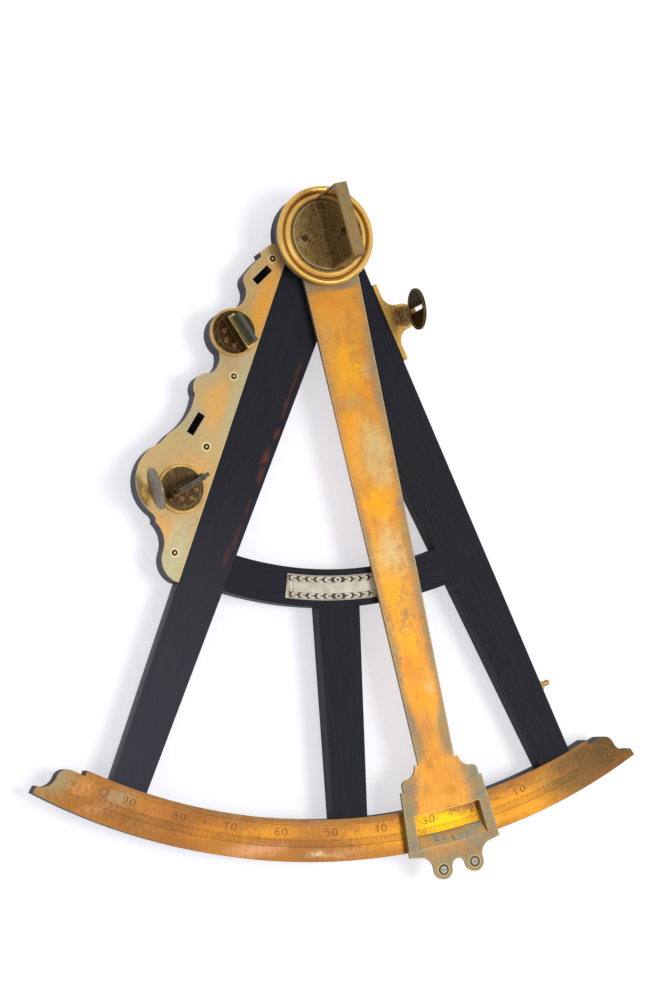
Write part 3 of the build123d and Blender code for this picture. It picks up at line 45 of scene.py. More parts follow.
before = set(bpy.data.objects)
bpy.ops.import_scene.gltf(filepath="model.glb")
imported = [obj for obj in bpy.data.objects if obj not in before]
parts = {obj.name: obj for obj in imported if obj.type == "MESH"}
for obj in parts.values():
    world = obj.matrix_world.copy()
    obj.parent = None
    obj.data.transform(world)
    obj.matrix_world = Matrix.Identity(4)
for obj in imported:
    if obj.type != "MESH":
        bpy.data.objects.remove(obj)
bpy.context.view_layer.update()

# Measures of the CAD model that the materials and engravings follow
rest_bearing = 9.7
left_leg_angle = 21.6
left_leg_offset_mm = 17.8
right_leg_angle = 21.3
cheek_length_mm = 253.8
rivet_places = ((10.13, 3.55), (43.89, 3.43), (64.14, 4.37), (93.11, 3.47))
ear_places_mm = ((-11.5, -430.4), (11.5, -430.4))
crossbar_inner_mm = 223.7
crossbar_width_mm = 25.1
scale_top_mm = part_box("scale_plate")[1].z * 1000
arm_top_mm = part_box("index_arm")[1].z * 1000
plaque_top_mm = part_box("plaque")[1].z * 1000

# Radii of the scale's engraving, and of the rings on the disc and on the mirror's base
scale_radius_mm = 406.4
scale_line_mm = 392.3
degree_tick_mm = 401.6
third_tick_mm = 402.3
numeral_radius_mm = 396.8
dot_radius_mm = 396.6
disc_groove_mm = 29.4
disc_rim_mm = 25.55
base_pale_ring_mm = 23.2
base_dark_ring_mm = 24.4

# Light
floor_glow = 0.55
world_strength = 0.36

# Brown blotches beside the left leg's inner edge, each with its centre and size in the leg's own
# directions and its strength
leg_blotches = (
    ((14.2, -96), (1.2, 16), 0.35), ((13.8, -118), (1.5, 10), 0.5), ((13.6, -138), (1.6, 6), 0.65),
    ((11.4, -155), (2.6, 7), 0.8), ((12.2, -166), (2.0, 7), 0.55), ((10.9, -191), (1.2, 6), 0.3),
    ((10.0, -214), (1.8, 9), 0.5), ((7.6, -226), (1.8, 6), 0.45),
)


def rgb(red, green, blue):
    """A colour given as it looks on screen, from 0 to 255, turned into light values."""
    values = []
    for level in (red, green, blue):
        share = level / 255
        if share <= 0.04045:
            values.append(share / 12.92)
        else:
            values.append(((share + 0.055) / 1.055) ** 2.4)
    return (values[0], values[1], values[2], 1.0)


class Recipe:
    """One procedural material, whose nodes are added step by step."""

    def __init__(self, name):
        self.material = bpy.data.materials.new(name)
        self.material.use_nodes = True
        self.tree = self.material.node_tree
        self.tree.nodes.clear()
        self.shader = self.add("ShaderNodeBsdfPrincipled")
        output = self.add("ShaderNodeOutputMaterial")
        self.tree.links.new(self.shader.outputs[0], output.inputs[0])
        self.output = output
        self.coordinates = self.add("ShaderNodeTexCoord").outputs["Object"]

    def add(self, kind, **settings):
        """A new node with some of its settings."""
        node = self.tree.nodes.new(kind)
        for key, value in settings.items():
            setattr(node, key, value)
        return node

    def feed(self, socket, value):
        """Link another node's output to a socket, or set the socket to a fixed value."""
        if isinstance(value, bpy.types.NodeSocket):
            self.tree.links.new(value, socket)
        else:
            socket.default_value = value

    def math(self, kind, first, second=0.0):
        """The result of one step of arithmetic."""
        node = self.add("ShaderNodeMath", operation=kind)
        self.feed(node.inputs[0], first)
        self.feed(node.inputs[1], second)
        return node.outputs[0]

    def off(self, value, middle):
        """How far a value is from a middle value."""
        return self.math("ABSOLUTE", self.math("SUBTRACT", value, middle))

    def place(self, bearing=0.0, stretch=(1, 1, 1)):
        """Object coordinates with +Y turned to run along a bearing, then stretched."""
        turned = self.add("ShaderNodeVectorRotate", rotation_type="Z_AXIS")
        self.feed(turned.inputs["Vector"], self.coordinates)
        turned.inputs["Angle"].default_value = -math.radians(bearing)
        mapped = self.add("ShaderNodeMapping")
        self.feed(mapped.inputs["Vector"], turned.outputs[0])
        mapped.inputs["Scale"].default_value = stretch
        return mapped.outputs[0]

    def along_arc(self, stretch):
        """Coordinates that run along the limb's arc, drawn out by a factor."""
        x, y, _ = self.split(self.place())
        turn = self.math("ARCTAN2", x, self.math("MULTIPLY", y, -1.0))
        joined = self.add("ShaderNodeCombineXYZ")
        self.feed(joined.inputs[0], self.math("MULTIPLY", turn, scale_radius_mm / 1000 / stretch))
        self.feed(joined.inputs[1], self.radius())
        return joined.outputs[0]

    def split(self, vector):
        """The x, y and z of a vector."""
        node = self.add("ShaderNodeSeparateXYZ")
        self.feed(node.inputs[0], vector)
        return node.outputs

    def radius(self):
        """Distance from the pivot's axis."""
        flat = self.place(stretch=(1, 1, 0))
        node = self.add("ShaderNodeVectorMath", operation="LENGTH")
        self.feed(node.inputs[0], flat)
        return node.outputs["Value"]

    def noise(self, vector, scale, detail=4.0, roughness=0.55, distortion=0.0):
        """A cloudy pattern, mostly between 0.2 and 0.8."""
        node = self.add("ShaderNodeTexNoise")
        self.feed(node.inputs["Vector"], vector)
        node.inputs["Scale"].default_value = scale
        node.inputs["Detail"].default_value = detail
        node.inputs["Roughness"].default_value = roughness
        node.inputs["Distortion"].default_value = distortion
        return node.outputs["Fac"]

    def sway(self, noise, spread):
        """A noise as a value from -spread to spread."""
        return self.remap(noise, 0.2, 0.8, -spread, spread)

    def uneven(self, value, noise, spread):
        """A value that a noise moves up and down."""
        return self.math("ADD", value, self.sway(noise, spread))

    def cells(self, vector, scale):
        """The distance to the nearest of many scattered points."""
        node = self.add("ShaderNodeTexVoronoi")
        self.feed(node.inputs["Vector"], vector)
        node.inputs["Scale"].default_value = scale
        return node.outputs["Distance"]

    def remap(self, value, low, high, to_low=0.0, to_high=1.0):
        """A soft step from one value to another, while the input goes from low to high."""
        node = self.add("ShaderNodeMapRange", clamp=True, interpolation_type="SMOOTHSTEP")
        self.feed(node.inputs["Value"], value)
        node.inputs["From Min"].default_value = low
        node.inputs["From Max"].default_value = high
        node.inputs["To Min"].default_value = to_low
        node.inputs["To Max"].default_value = to_high
        return node.outputs["Result"]

    def spot(self, here, centre_mm, size_mm):
        """How far a point is from a spot's centre, where 1 is the spot's edge."""
        mapped = self.add("ShaderNodeMapping")
        self.feed(mapped.inputs["Vector"], here)
        mapped.inputs["Scale"].default_value = (1000 / size_mm[0], 1000 / size_mm[1], 0)
        start = (-centre_mm[0] / size_mm[0], -centre_mm[1] / size_mm[1], 0)
        mapped.inputs["Location"].default_value = start
        far = self.add("ShaderNodeVectorMath", operation="LENGTH")
        self.feed(far.inputs[0], mapped.outputs[0])
        return far.outputs["Value"]

    def patch(self, colour, here, wobble, centre_mm, size_mm, tint, strength=0.85):
        """A patch of another tint, whose soft outline wobbles with a noise."""
        far = self.math("ADD", self.spot(here, centre_mm, size_mm), wobble)
        return self.mix(self.remap(far, 0.2, 1.4, strength, 0.0), colour, rgb(*tint))

    def patches(self, colour, here, wobble, rows):
        """Patches one over the other, each with its centre and size in mm, its tint and its strength."""
        for centre_mm, size_mm, tint, strength in rows:
            colour = self.patch(colour, here, wobble, centre_mm, size_mm, tint, strength)
        return colour

    def ring_line(self, colour, radius_mm, half_mm, soft_mm, strength, tint):
        """A ring about the pivot's axis, drawn as a line with soft sides."""
        off = self.off(self.radius(), radius_mm / 1000)
        share = self.remap(off, half_mm / 1000, soft_mm / 1000, strength, 0.0)
        return self.mix(share, colour, rgb(*tint))

    def near_edge(self, reach_mm):
        """1 beside a sharp edge and 0 away from it."""
        soft = self.add("ShaderNodeBevel", samples=4)
        soft.inputs["Radius"].default_value = reach_mm / 1000
        turned = self.add("ShaderNodeVectorMath", operation="DOT_PRODUCT")
        self.feed(turned.inputs[0], soft.outputs[0])
        self.feed(turned.inputs[1], self.add("ShaderNodeNewGeometry").outputs["Normal"])
        return self.remap(turned.outputs["Value"], 0.86, 0.998, 1.0, 0.0)

    def mix(self, share, first, second):
        """The first colour where the share is 0, and the second where it is 1."""
        node = self.add("ShaderNodeMix", data_type="RGBA")
        self.feed(node.inputs["Factor"], share)
        self.feed(node.inputs[6], first)
        self.feed(node.inputs[7], second)
        return node.outputs[2]

    def relief(self, height, depth_mm, edge_mm=0.0):
        """Bump from a height pattern, over edges that are softened a little."""
        bump = self.add("ShaderNodeBump")
        bump.inputs["Strength"].default_value = 1.0
        bump.inputs["Distance"].default_value = depth_mm / 1000
        self.feed(bump.inputs["Height"], height)
        if edge_mm > 0:
            soft = self.add("ShaderNodeBevel", samples=4)
            soft.inputs["Radius"].default_value = edge_mm / 1000
            self.feed(bump.inputs["Normal"], soft.outputs[0])
        self.feed(self.shader.inputs["Normal"], bump.outputs[0])

    def finish(self, colour, roughness, metallic=0.0, **sockets):
        """Set the shader's sockets and give the finished material."""
        self.feed(self.shader.inputs["Base Color"], colour)
        self.feed(self.shader.inputs["Roughness"], roughness)
        self.shader.inputs["Metallic"].default_value = metallic
        for name, value in sockets.items():
            self.shader.inputs[name.replace("_", " ")].default_value = value
        return self.material


def wood(name, bearing, worn=False):
    """Oiled black hardwood with its grain along a bearing.

    The worn kind is lighter towards its lower end, has brown blotches, and a painted sheen on its side
    faces.
    """
    recipe = Recipe(name)
    grain = recipe.noise(recipe.place(bearing, (420, 14, 420)), 2.0, 5.0, 0.6, 0.3)
    broad = recipe.noise(recipe.place(bearing, (50, 5, 50)), 1.6, 3.0)
    specks = recipe.noise(recipe.coordinates, 1500.0, 3.0, 0.7)
    colour = recipe.mix(recipe.remap(grain, 0.3, 0.75), rgb(24, 25, 32), rgb(36, 37, 46))
    colour = recipe.mix(recipe.remap(broad, 0.5, 0.85, 0.0, 0.6), colour, rgb(38, 32, 36))
    colour = recipe.mix(recipe.remap(specks, 0.56, 0.74, 0.0, 0.5), colour, rgb(74, 74, 84))
    if worn:
        here = recipe.place(-left_leg_angle)
        _, along, _ = recipe.split(here)
        colour = recipe.mix(recipe.remap(along, -0.12, -0.36, 0.0, 0.45), colour, rgb(84, 82, 92))
        soft = recipe.noise(recipe.place(bearing, (1, 0.5, 1)), 220.0, 4.0, 0.6)
        wobble = recipe.sway(soft, 0.6)
        for centre, size, strength in leg_blotches:
            colour = recipe.patch(colour, here, wobble, centre, size, (122, 68, 52), strength)
        # Painted sheen: faces that stand upright are made lighter grey, as if lit from the side.
        _, _, up = recipe.split(recipe.add("ShaderNodeNewGeometry").outputs["Normal"])
        side = recipe.remap(recipe.math("ABSOLUTE", up), 0.2, 0.7, 0.55, 0.0)
        colour = recipe.mix(side, colour, rgb(100, 98, 108))
    shine = recipe.remap(specks, 0.3, 0.7, 0.5, 0.62)
    height = recipe.math("MULTIPLY", recipe.math("ADD", grain, specks), 0.5)
    recipe.relief(height, 0.012, 0.5)
    return recipe.finish(colour, shine, Specular_IOR_Level=0.14)


def brass(name, tarnish=None, gold=(226, 158, 60), pale=(176, 150, 100), deep=(196, 116, 48), amount=0.5,
          shine=(0.42, 0.55), metallic=0.35, patch=28.0, bearing=0.0, paint=None, marks=None, rim=None,
          arc=False, blush=None, cool=None):
    """Old brass: gold where it is handled, grey-green or brown where it has tarnished.

    The tarnish covers the share `amount` in clouds of the scale `patch`, and also where the function
    `tarnish` says. `paint` colours the bare metal under it, `marks` is drawn over it, and `rim` is the
    tint and reach of worn edges, which are also a painted highlight where the tint is pale. `blush` and
    `cool` are second and third tints of the tarnish.
    """
    recipe = Recipe(name)
    here = recipe.place(bearing)
    drawn_out = recipe.along_arc(3.5) if arc else recipe.place(bearing, (1, 0.55, 1))
    clouds = recipe.noise(drawn_out, patch, 3.0, 0.5, 0.35)
    warm = recipe.noise(drawn_out, patch * 1.7, 4.0, 0.55, 0.3)
    fine = recipe.noise(here, patch * 12, 4.0, 0.6)
    specks = recipe.noise(here, 1100.0, 3.0, 0.7)
    pits = recipe.cells(here, 300.0)
    brushed = recipe.noise(recipe.place(bearing, (1800, 90, 1800)), 1.0, 2.0, 0.5)
    soft = recipe.uneven(clouds, fine, 0.07)
    wobble = recipe.uneven(recipe.sway(clouds, 0.45), fine, 0.2)
    share = recipe.remap(soft, 0.58 - 0.3 * amount, 0.88 - 0.3 * amount)
    if tarnish is not None:
        share = recipe.math("MAXIMUM", share, tarnish(recipe, soft))
    colour = recipe.mix(recipe.remap(warm, 0.42, 0.78), rgb(*gold), rgb(*deep))
    if paint is not None:
        colour = paint(recipe, colour, here, wobble)
        mottle = recipe.noise(drawn_out, patch * 4.5, 5.0, 0.6, 0.4)
        colour = recipe.mix(recipe.remap(mottle, 0.47, 0.72, 0.0, 0.5), colour, rgb(*deep))
    fringe = recipe.math("MULTIPLY", share, recipe.math("SUBTRACT", 1.0, share))
    colour = recipe.mix(recipe.math("MULTIPLY", fringe, 1.6), colour, rgb(*deep))
    cast = recipe.noise(here, patch * 4, 4.0, 0.65)
    skin = recipe.mix(recipe.remap(cast, 0.38, 0.66, 0.0, 0.8), rgb(*pale), rgb(*(blush or deep)))
    if cool is not None:
        film = recipe.noise(here, patch * 2.6, 5.0, 0.65, 0.5)
        skin = recipe.mix(recipe.remap(film, 0.45, 0.65, 0.0, 0.75), skin, rgb(*cool))
    colour = recipe.mix(share, colour, skin)
    # Worn edges, with a painted highlight along them where the rim tint is pale.
    if rim is not None:
        worn = recipe.math("MULTIPLY", recipe.near_edge(rim[1]), recipe.remap(fine, 0.3, 0.6, 0.4, 0.9))
        colour = recipe.mix(worn, colour, rgb(*rim[0]))
    if marks is not None:
        colour = marks(recipe, colour, here, wobble)
    dirt = recipe.uneven(specks, fine, 0.12)
    colour = recipe.mix(recipe.remap(dirt, 0.52, 0.76, 0.0, 0.22), colour, rgb(110, 76, 44))
    pitted = recipe.remap(pits, 0.05, 0.12, 0.5, 0.0)
    spot = recipe.math("MULTIPLY", pitted, recipe.remap(specks, 0.52, 0.6))
    colour = recipe.mix(spot, colour, rgb(70, 46, 28))
    rough = recipe.math("ADD", recipe.remap(share, 0.0, 1.0, shine[0], shine[1]),
                        recipe.remap(brushed, 0.3, 0.7, -0.03, 0.03))
    height = recipe.math("ADD", recipe.math("MULTIPLY", brushed, 0.12),
                         recipe.math("MULTIPLY", specks, 0.8))
    recipe.relief(recipe.math("SUBTRACT", height, spot), 0.012, 0.25)
    return recipe.finish(colour, rough, metallic, Specular_IOR_Level=0.14)


def polished_brass(name):
    """Brass that was turned and rubbed bright, with faint turning marks, darker in its groove and at its
    rim.
    """
    recipe = Recipe(name)
    radius = recipe.radius()
    clouds = recipe.noise(recipe.coordinates, 45.0, 3.0, 0.5, 0.3)
    specks = recipe.noise(recipe.coordinates, 1200.0, 3.0, 0.7)
    marks_per_metre = 14000.0
    turned = recipe.math("SINE", recipe.math("MULTIPLY", radius, marks_per_metre))
    colour = recipe.mix(recipe.remap(clouds, 0.35, 0.7), rgb(240, 192, 104), rgb(214, 160, 76))
    in_groove = recipe.remap(recipe.off(radius, disc_groove_mm / 1000), 0.0, 0.0012, 0.6, 0.0)
    at_rim = recipe.remap(recipe.off(radius, disc_rim_mm / 1000), 0.0, 0.0007, 0.7, 0.0)
    colour = recipe.mix(recipe.math("MAXIMUM", in_groove, at_rim), colour, rgb(110, 78, 38))
    colour = recipe.mix(recipe.remap(specks, 0.62, 0.78, 0.0, 0.2), colour, rgb(124, 88, 44))
    height = recipe.math("ADD", recipe.math("MULTIPLY", turned, 0.06),
                         recipe.math("MULTIPLY", specks, 0.15))
    recipe.relief(height, 0.006, 0.3)
    return recipe.finish(colour, recipe.remap(clouds, 0.3, 0.7, 0.24, 0.34), 0.6, Specular_IOR_Level=0.3)


def steel(name):
    """Dark old steel with a little rust here and there, and darker beside its edges."""
    recipe = Recipe(name)
    rust = recipe.noise(recipe.coordinates, 700.0, 5.0, 0.65)
    colour = recipe.mix(recipe.remap(rust, 0.45, 0.75), rgb(168, 162, 146), rgb(122, 108, 84))
    edge = recipe.remap(recipe.near_edge(0.45), 0.0, 1.0, 0.0, 0.75)
    colour = recipe.mix(edge, colour, rgb(70, 60, 46))
    recipe.relief(rust, 0.006, 0.15)
    return recipe.finish(colour, recipe.remap(rust, 0.3, 0.7, 0.4, 0.55), 0.4, Specular_IOR_Level=0.3)


def arm_tarnish(recipe, clouds):
    """Tarnish along both edges of the index arm, at its head and at its lower end."""
    neck = 0.345
    taper_end = 0.359
    across, along, _ = recipe.split(recipe.place(rest_bearing))
    reach = recipe.math("MULTIPLY", along, -1.0)
    off_middle = recipe.math("ABSOLUTE", across)
    half_width = recipe.remap(reach, 0.0, taper_end, 0.0205, 0.0135)
    side = recipe.uneven(recipe.math("DIVIDE", off_middle, half_width), clouds, 0.22)
    side = recipe.math("ADD", side, recipe.remap(recipe.off(reach, neck), 0.0, 0.035, 0.35, 0.0))
    rim = recipe.remap(side, 0.6, 1.15, 0.0, 0.9)
    rim = recipe.math("MULTIPLY", rim, recipe.remap(reach, 0.352, 0.362, 1.0, 0.0))
    low_rim = recipe.remap(recipe.uneven(off_middle, clouds, 0.008), 0.0135, 0.0265)
    low_rim = recipe.math("MULTIPLY", low_rim, recipe.remap(reach, 0.350, 0.362))
    foot = recipe.remap(recipe.uneven(reach, clouds, 0.012), 0.396, 0.418, 0.0, 0.9)
    head = recipe.remap(recipe.uneven(reach, clouds, 0.003), 0.037, 0.033)
    both = recipe.math("MAXIMUM", rim, low_rim)
    return recipe.math("MAXIMUM", recipe.math("MAXIMUM", both, foot), head)


def arm_patches(recipe, colour, here, wobble):
    """The index arm's bands of orange, yellow and pale brass, from the disc down to the window."""
    return recipe.patches(colour, here, wobble, (
        ((-1, -60), (17, 26), (226, 160, 62), 0.85),
        ((-3, -46), (12, 9), (232, 148, 46), 0.6),
        ((-10, -72), (5, 14), (200, 160, 92), 0.5),
        ((1, -88), (14, 22), (242, 170, 34), 0.9),
        ((12, -94), (6, 10), (196, 176, 122), 0.7),
        ((9, -108), (7, 9), (234, 154, 38), 0.8),
        ((-4, -114), (13, 4), (176, 146, 104), 0.45),
        ((-5, -132), (10, 13), (236, 154, 42), 0.85),
        ((6, -150), (11, 26), (208, 184, 126), 0.8),
        ((-10, -160), (4, 26), (228, 162, 66), 0.7),
        ((0, -185), (15, 13), (244, 168, 24), 0.9),
        ((11, -190), (4, 13), (226, 126, 36), 0.7),
        ((2, -217), (14, 22), (214, 188, 130), 0.9),
        ((-9, -204), (4, 12), (230, 150, 52), 0.6),
        ((-2, -262), (13, 40), (246, 170, 20), 0.95),
        ((9, -250), (5, 20), (214, 140, 60), 0.6),
        ((6, -311), (4, 5), (206, 184, 128), 0.7),
        ((1, -320), (8, 12), (228, 148, 42), 0.8),
        ((-2, -338), (9, 10), (188, 128, 66), 0.8),
        ((2, -372), (20, 24), (208, 138, 50), 0.9),
        ((-8, -388), (14, 9), (216, 148, 58), 0.6),
        ((0, -354), (8, 7), (196, 130, 56), 0.6),
        ((14, -366), (8, 12), (190, 142, 84), 0.5),
        ((-6, -361), (4, 5), (168, 104, 44), 0.6),
        ((6, -380), (6, 4), (176, 110, 40), 0.5),
        ((-11, -376), (4, 6), (172, 112, 50), 0.45),
        ((3, -392), (8, 3), (168, 104, 40), 0.45),
        ((7, -356), (3, 4), (178, 112, 44), 0.5),
        ((-4, -425), (12, 5), (200, 150, 96), 0.6),
    ))


def scale_patches(recipe, colour, here, wobble):
    """Lighter and darker patches along the graduated scale, and a painted highlight where the arm's
    window lies.
    """
    return recipe.patches(colour, here, wobble, (
        ((-202, -348), (26, 18), (160, 146, 104), 1.0),
        ((-178, -358), (10, 7), (218, 150, 84), 0.8),
        ((-158, -365), (14, 8), (166, 138, 104), 0.9),
        ((-136, -378), (15, 8), (184, 116, 56), 0.8),
        ((-114, -388), (26, 14), (150, 94, 40), 0.8),
        ((-168, -371), (18, 5), (206, 148, 100), 0.7),
        ((-100, -391), (20, 6), (206, 130, 36), 0.7),
        ((-60, -395), (26, 6), (214, 142, 34), 0.7),
        ((-66, -404), (24, 5), (210, 152, 108), 0.7),
        ((-8, -411), (20, 4), (206, 160, 108), 0.6),
        ((-26, -410), (9, 3.4), (224, 200, 146), 0.95),
        ((-30, -389), (12, 3), (140, 116, 92), 0.5),
        ((20, -402), (40, 9), (224, 152, 40), 0.7),
        # Painted highlight: the bright yellow of the scale where it shows lit through the arm's window.
        ((68, -394), (28, 10), (255, 196, 14), 1.0),
        ((116, -386), (30, 12), (234, 158, 40), 0.85),
        ((150, -372), (16, 12), (206, 148, 60), 0.6),
        ((186, -352), (44, 30), (92, 70, 36), 1.0),
        ((166, -366), (20, 14), (120, 90, 48), 0.7),
    ))


def cheek_patches(recipe, colour, here, wobble):
    """The cheek's orange patches and lilac tints, and the rings round its rivets."""
    colour = recipe.patches(colour, here, wobble, (
        ((-23, -64), (8, 32), (230, 160, 64), 0.95),
        ((-33, -134), (8, 16), (226, 166, 84), 0.7),
        ((-34, -178), (12, 8), (220, 164, 96), 0.65),
        ((-40, -228), (13, 12), (228, 166, 96), 0.8),
        ((-46, -112), (9, 12), (186, 170, 144), 0.7),
        ((-24, -95), (5, 16), (188, 172, 146), 0.6),
        ((-46, -150), (10, 12), (176, 166, 130), 0.7),
        ((-26, -236), (9, 26), (182, 184, 146), 0.75),
        ((-34, -252), (9, 9), (186, 176, 134), 0.7),
        ((-20, -120), (4, 30), (184, 176, 140), 0.6),
    ))
    return rivet_rings(recipe, colour, here, wobble)


def base_rings(recipe, colour, here, wobble):
    """A pale ring near the mirror base's rim, and a dark one outside it."""
    colour = recipe.ring_line(colour, base_pale_ring_mm, 0.3, 0.7, 0.55, (204, 184, 130))
    return recipe.ring_line(colour, base_dark_ring_mm, 0.2, 0.6, 0.8, (48, 34, 18))


def holder_top(recipe, colour, here, wobble):
    """The bright tops of the horizon mirrors' holders: rubbed brass with a painted highlight."""
    _, _, height = recipe.split(recipe.place())
    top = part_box("fore_mirror_holder")[1].z
    # Painted highlight and wear: the holder is made bright within a millimetre of its top.
    rubbed = recipe.remap(height, top - 0.0012, top - 0.0004, 0.0, 0.85)
    return recipe.mix(rubbed, colour, rgb(238, 204, 132))


def rivet_rings(recipe, colour, here, wobble):
    """Dark rings round the cheek's rivets, inside a worn pale halo.

    The rivets' places are hundredths of the cheek's length along the leg and out from its axis.
    """
    for along, out in rivet_places:
        across = -out * cheek_length_mm / 100 - left_leg_offset_mm
        far = recipe.spot(here, (across, -along * cheek_length_mm / 100), (1, 1))
        far = recipe.math("ADD", far, recipe.remap(wobble, -0.5, 0.5, -0.15, 0.15))
        colour = recipe.mix(recipe.remap(far, 2.6, 3.6, 0.85, 0.0), colour, rgb(232, 210, 154))
        colour = recipe.mix(recipe.remap(far, 1.8, 2.3, 1.0, 0.0), colour, rgb(44, 26, 12))
        colour = recipe.mix(recipe.remap(far, 0.45, 0.85, 1.0, 0.0), colour, rgb(232, 206, 150))
    return colour


def ear_rings(recipe, colour, here, wobble):
    """A dark ring and a pale halo round each ear screw."""
    for centre in ear_places_mm:
        far = recipe.spot(here, centre, (1, 1))
        colour = recipe.mix(recipe.remap(far, 3.6, 5.2, 0.7, 0.0), colour, rgb(206, 184, 130))
        colour = recipe.mix(recipe.remap(far, 3.1, 3.7, 0.95, 0.0), colour, rgb(52, 40, 26))
    return colour


def scale_tarnish(recipe, clouds):
    """Tarnish towards the left end of the scale and along its inner edge."""
    radius = recipe.radius()
    x, _, _ = recipe.split(recipe.place())
    ends = recipe.math("SUBTRACT", recipe.math("MULTIPLY", x, -1.0), recipe.sway(clouds, 0.03))
    ends = recipe.remap(ends, 0.18, 0.24, 0.0, 0.45)
    inner = recipe.remap(recipe.uneven(radius, clouds, 0.003), 0.389, 0.3915, 0.5, 0.0)
    return recipe.math("MAXIMUM", ends, inner)


# Materials and where they go
ebony_left = wood("ebony_left_leg", -left_leg_angle, worn=True)
ebony_right = wood("ebony_right_leg", right_leg_angle)
ebony_cross = wood("ebony_cross", 90.0)
ebony_post = wood("ebony_post", 0.0)
cheek_brass = brass("cheek_brass", gold=(196, 168, 114), pale=(180, 166, 122), deep=(196, 154, 94),
                    amount=0.5, patch=24.0, bearing=-left_leg_angle, marks=cheek_patches,
                    rim=((236, 220, 172), 1.2), blush=(190, 162, 112), cool=(176, 172, 150))
rivet_brass = brass("rivet_brass", gold=(190, 156, 96), amount=0.2, bearing=-left_leg_angle,
                    marks=rivet_rings)
arm_brass = brass("arm_brass", arm_tarnish, gold=(216, 154, 58), pale=(164, 152, 112),
                  deep=(200, 124, 54), amount=-0.1, bearing=rest_bearing, patch=24.0, paint=arm_patches,
                  marks=ear_rings, rim=((226, 208, 156), 1.4), blush=(186, 138, 86),
                  cool=(138, 134, 122))
scale_brass = brass("scale_brass", scale_tarnish, gold=(172, 114, 44), pale=(156, 122, 76),
                    deep=(152, 92, 42), amount=0.05, patch=30.0, paint=scale_patches, arc=True,
                    rim=((150, 116, 70), 0.6))
vernier_brass = brass("vernier_brass", gold=(230, 184, 108), pale=(184, 184, 150), deep=(230, 156, 88),
                      amount=0.6, patch=90.0, bearing=rest_bearing, rim=((226, 170, 90), 0.6),
                      blush=(160, 170, 158))
fitting_brass = brass("fitting_brass", gold=(220, 174, 88), pale=(176, 150, 92), deep=(180, 126, 60),
                      amount=0.4, shine=(0.3, 0.45), patch=60.0, rim=((250, 224, 152), 0.6))
ring_brass = polished_brass("ring_brass")
base_brass = brass("base_brass", gold=(164, 130, 74), pale=(206, 180, 122), deep=(44, 28, 12), amount=0.3,
                   shine=(0.3, 0.5), patch=520.0, marks=base_rings, blush=(112, 108, 88))
dark_brass = brass("dark_brass", gold=(88, 66, 34), pale=(150, 126, 78), deep=(52, 34, 16), amount=0.3,
                   shine=(0.3, 0.5), patch=420.0, rim=((226, 186, 106), 0.7))
holder_brass = brass("holder_brass", gold=(84, 56, 28), pale=(120, 94, 54), deep=(44, 26, 12), amount=0.2,
                     shine=(0.25, 0.4), patch=420.0, rim=((226, 186, 106), 0.6), marks=holder_top)
screw_brass = brass("screw_brass", gold=(86, 66, 36), pale=(132, 110, 68), deep=(44, 30, 14), amount=0.3,
                    shine=(0.3, 0.5), patch=420.0)
brown_brass = brass("brown_brass", gold=(74, 48, 24), pale=(190, 156, 96), deep=(40, 24, 12), amount=0.15,
                    shine=(0.3, 0.5), patch=420.0, rim=((206, 166, 96), 0.6))
pillar_brass = brass("pillar_brass", gold=(130, 92, 46), pale=(176, 146, 92), deep=(64, 42, 22),
                     amount=0.3, shine=(0.3, 0.45), patch=200.0, rim=((250, 224, 152), 0.8))
lilac_brass = brass("lilac_brass", gold=(134, 120, 106), pale=(120, 112, 98), deep=(100, 80, 62),
                    amount=0.4, shine=(0.3, 0.45), patch=120.0, rim=((236, 204, 130), 0.9))
sight_brass = brass("sight_brass", gold=(36, 20, 8), pale=(74, 48, 20), deep=(22, 12, 5), amount=0.2,
                    shine=(0.34, 0.45), metallic=0.1, patch=70.0, rim=((236, 192, 104), 0.8))
mirror_brass = brass("mirror_brass", gold=(164, 136, 86), pale=(154, 138, 96), deep=(146, 108, 62),
                     amount=0.6, patch=70.0, rim=((92, 64, 32), 0.5), blush=(170, 132, 80),
                     cool=(136, 124, 98))
old_steel = steel("old_steel")


def give(material, *names):
    """Make a material the only one of some CAD nodes."""
    for name in names:
        slots = parts[name].data.materials
        slots.clear()
        slots.append(material)


give(ebony_left, "left_leg", "cheek_block")
give(ebony_right, "right_leg")
give(ebony_cross, "limb_arc", "crossbar")
give(ebony_post, "centre_post")
give(cheek_brass, "cheek_plate")
give(arm_brass, "index_arm")
give(scale_brass, "scale_plate")
give(ring_brass, "index_disc")
give(mirror_brass, "mirror_frame")
give(vernier_brass, "vernier_plate")
give(base_brass, "mirror_base")
give(dark_brass, "back_mirror_base", "fore_mirror_screws", "back_mirror_screws")
give(holder_brass, "fore_mirror_holder")
give(brown_brass, "fore_mirror_base", "back_mirror_holder")
give(lilac_brass, "back_sight_disc")
give(rivet_brass, "cheek_rivets")
give(pillar_brass, "fore_sight_stem")
give(fitting_brass, "back_sight_stem", "pivot_bush", "pivot_back_plate", "pivot_foot", "left_foot",
     "right_foot", "sight_bracket", "fore_mirror_seat", "back_mirror_seat", "side_peg", "arm_axle",
     "axle_washer", "axle_nut", "ear_spacers", "keeper_plate", "arm_clamp_screw", "fore_mirror_lever",
     "back_mirror_lever", "fore_clamp_nut", "back_clamp_nut")
give(sight_brass, "fore_sight_disc")
give(old_steel, "back_plate_screws", "bracket_screws", "keeper_screws", "keeper_spring")
give(screw_brass, "mirror_screws")


def bone_material():
    """Yellowed bone with fine cracks and dirt."""
    recipe = Recipe("bone")
    clouds = recipe.noise(recipe.coordinates, 160.0, 5.0, 0.6)
    cracks = recipe.noise(recipe.place(90, (900, 40, 900)), 1.0, 3.0, 0.6)
    colour = recipe.mix(recipe.remap(clouds, 0.35, 0.7), rgb(236, 224, 204), rgb(220, 204, 174))
    colour = recipe.mix(recipe.remap(cracks, 0.62, 0.75, 0.0, 0.5), colour, rgb(140, 124, 96))
    recipe.relief(cracks, 0.02, 0.2)
    return recipe.finish(colour, recipe.remap(clouds, 0.3, 0.7, 0.3, 0.45))


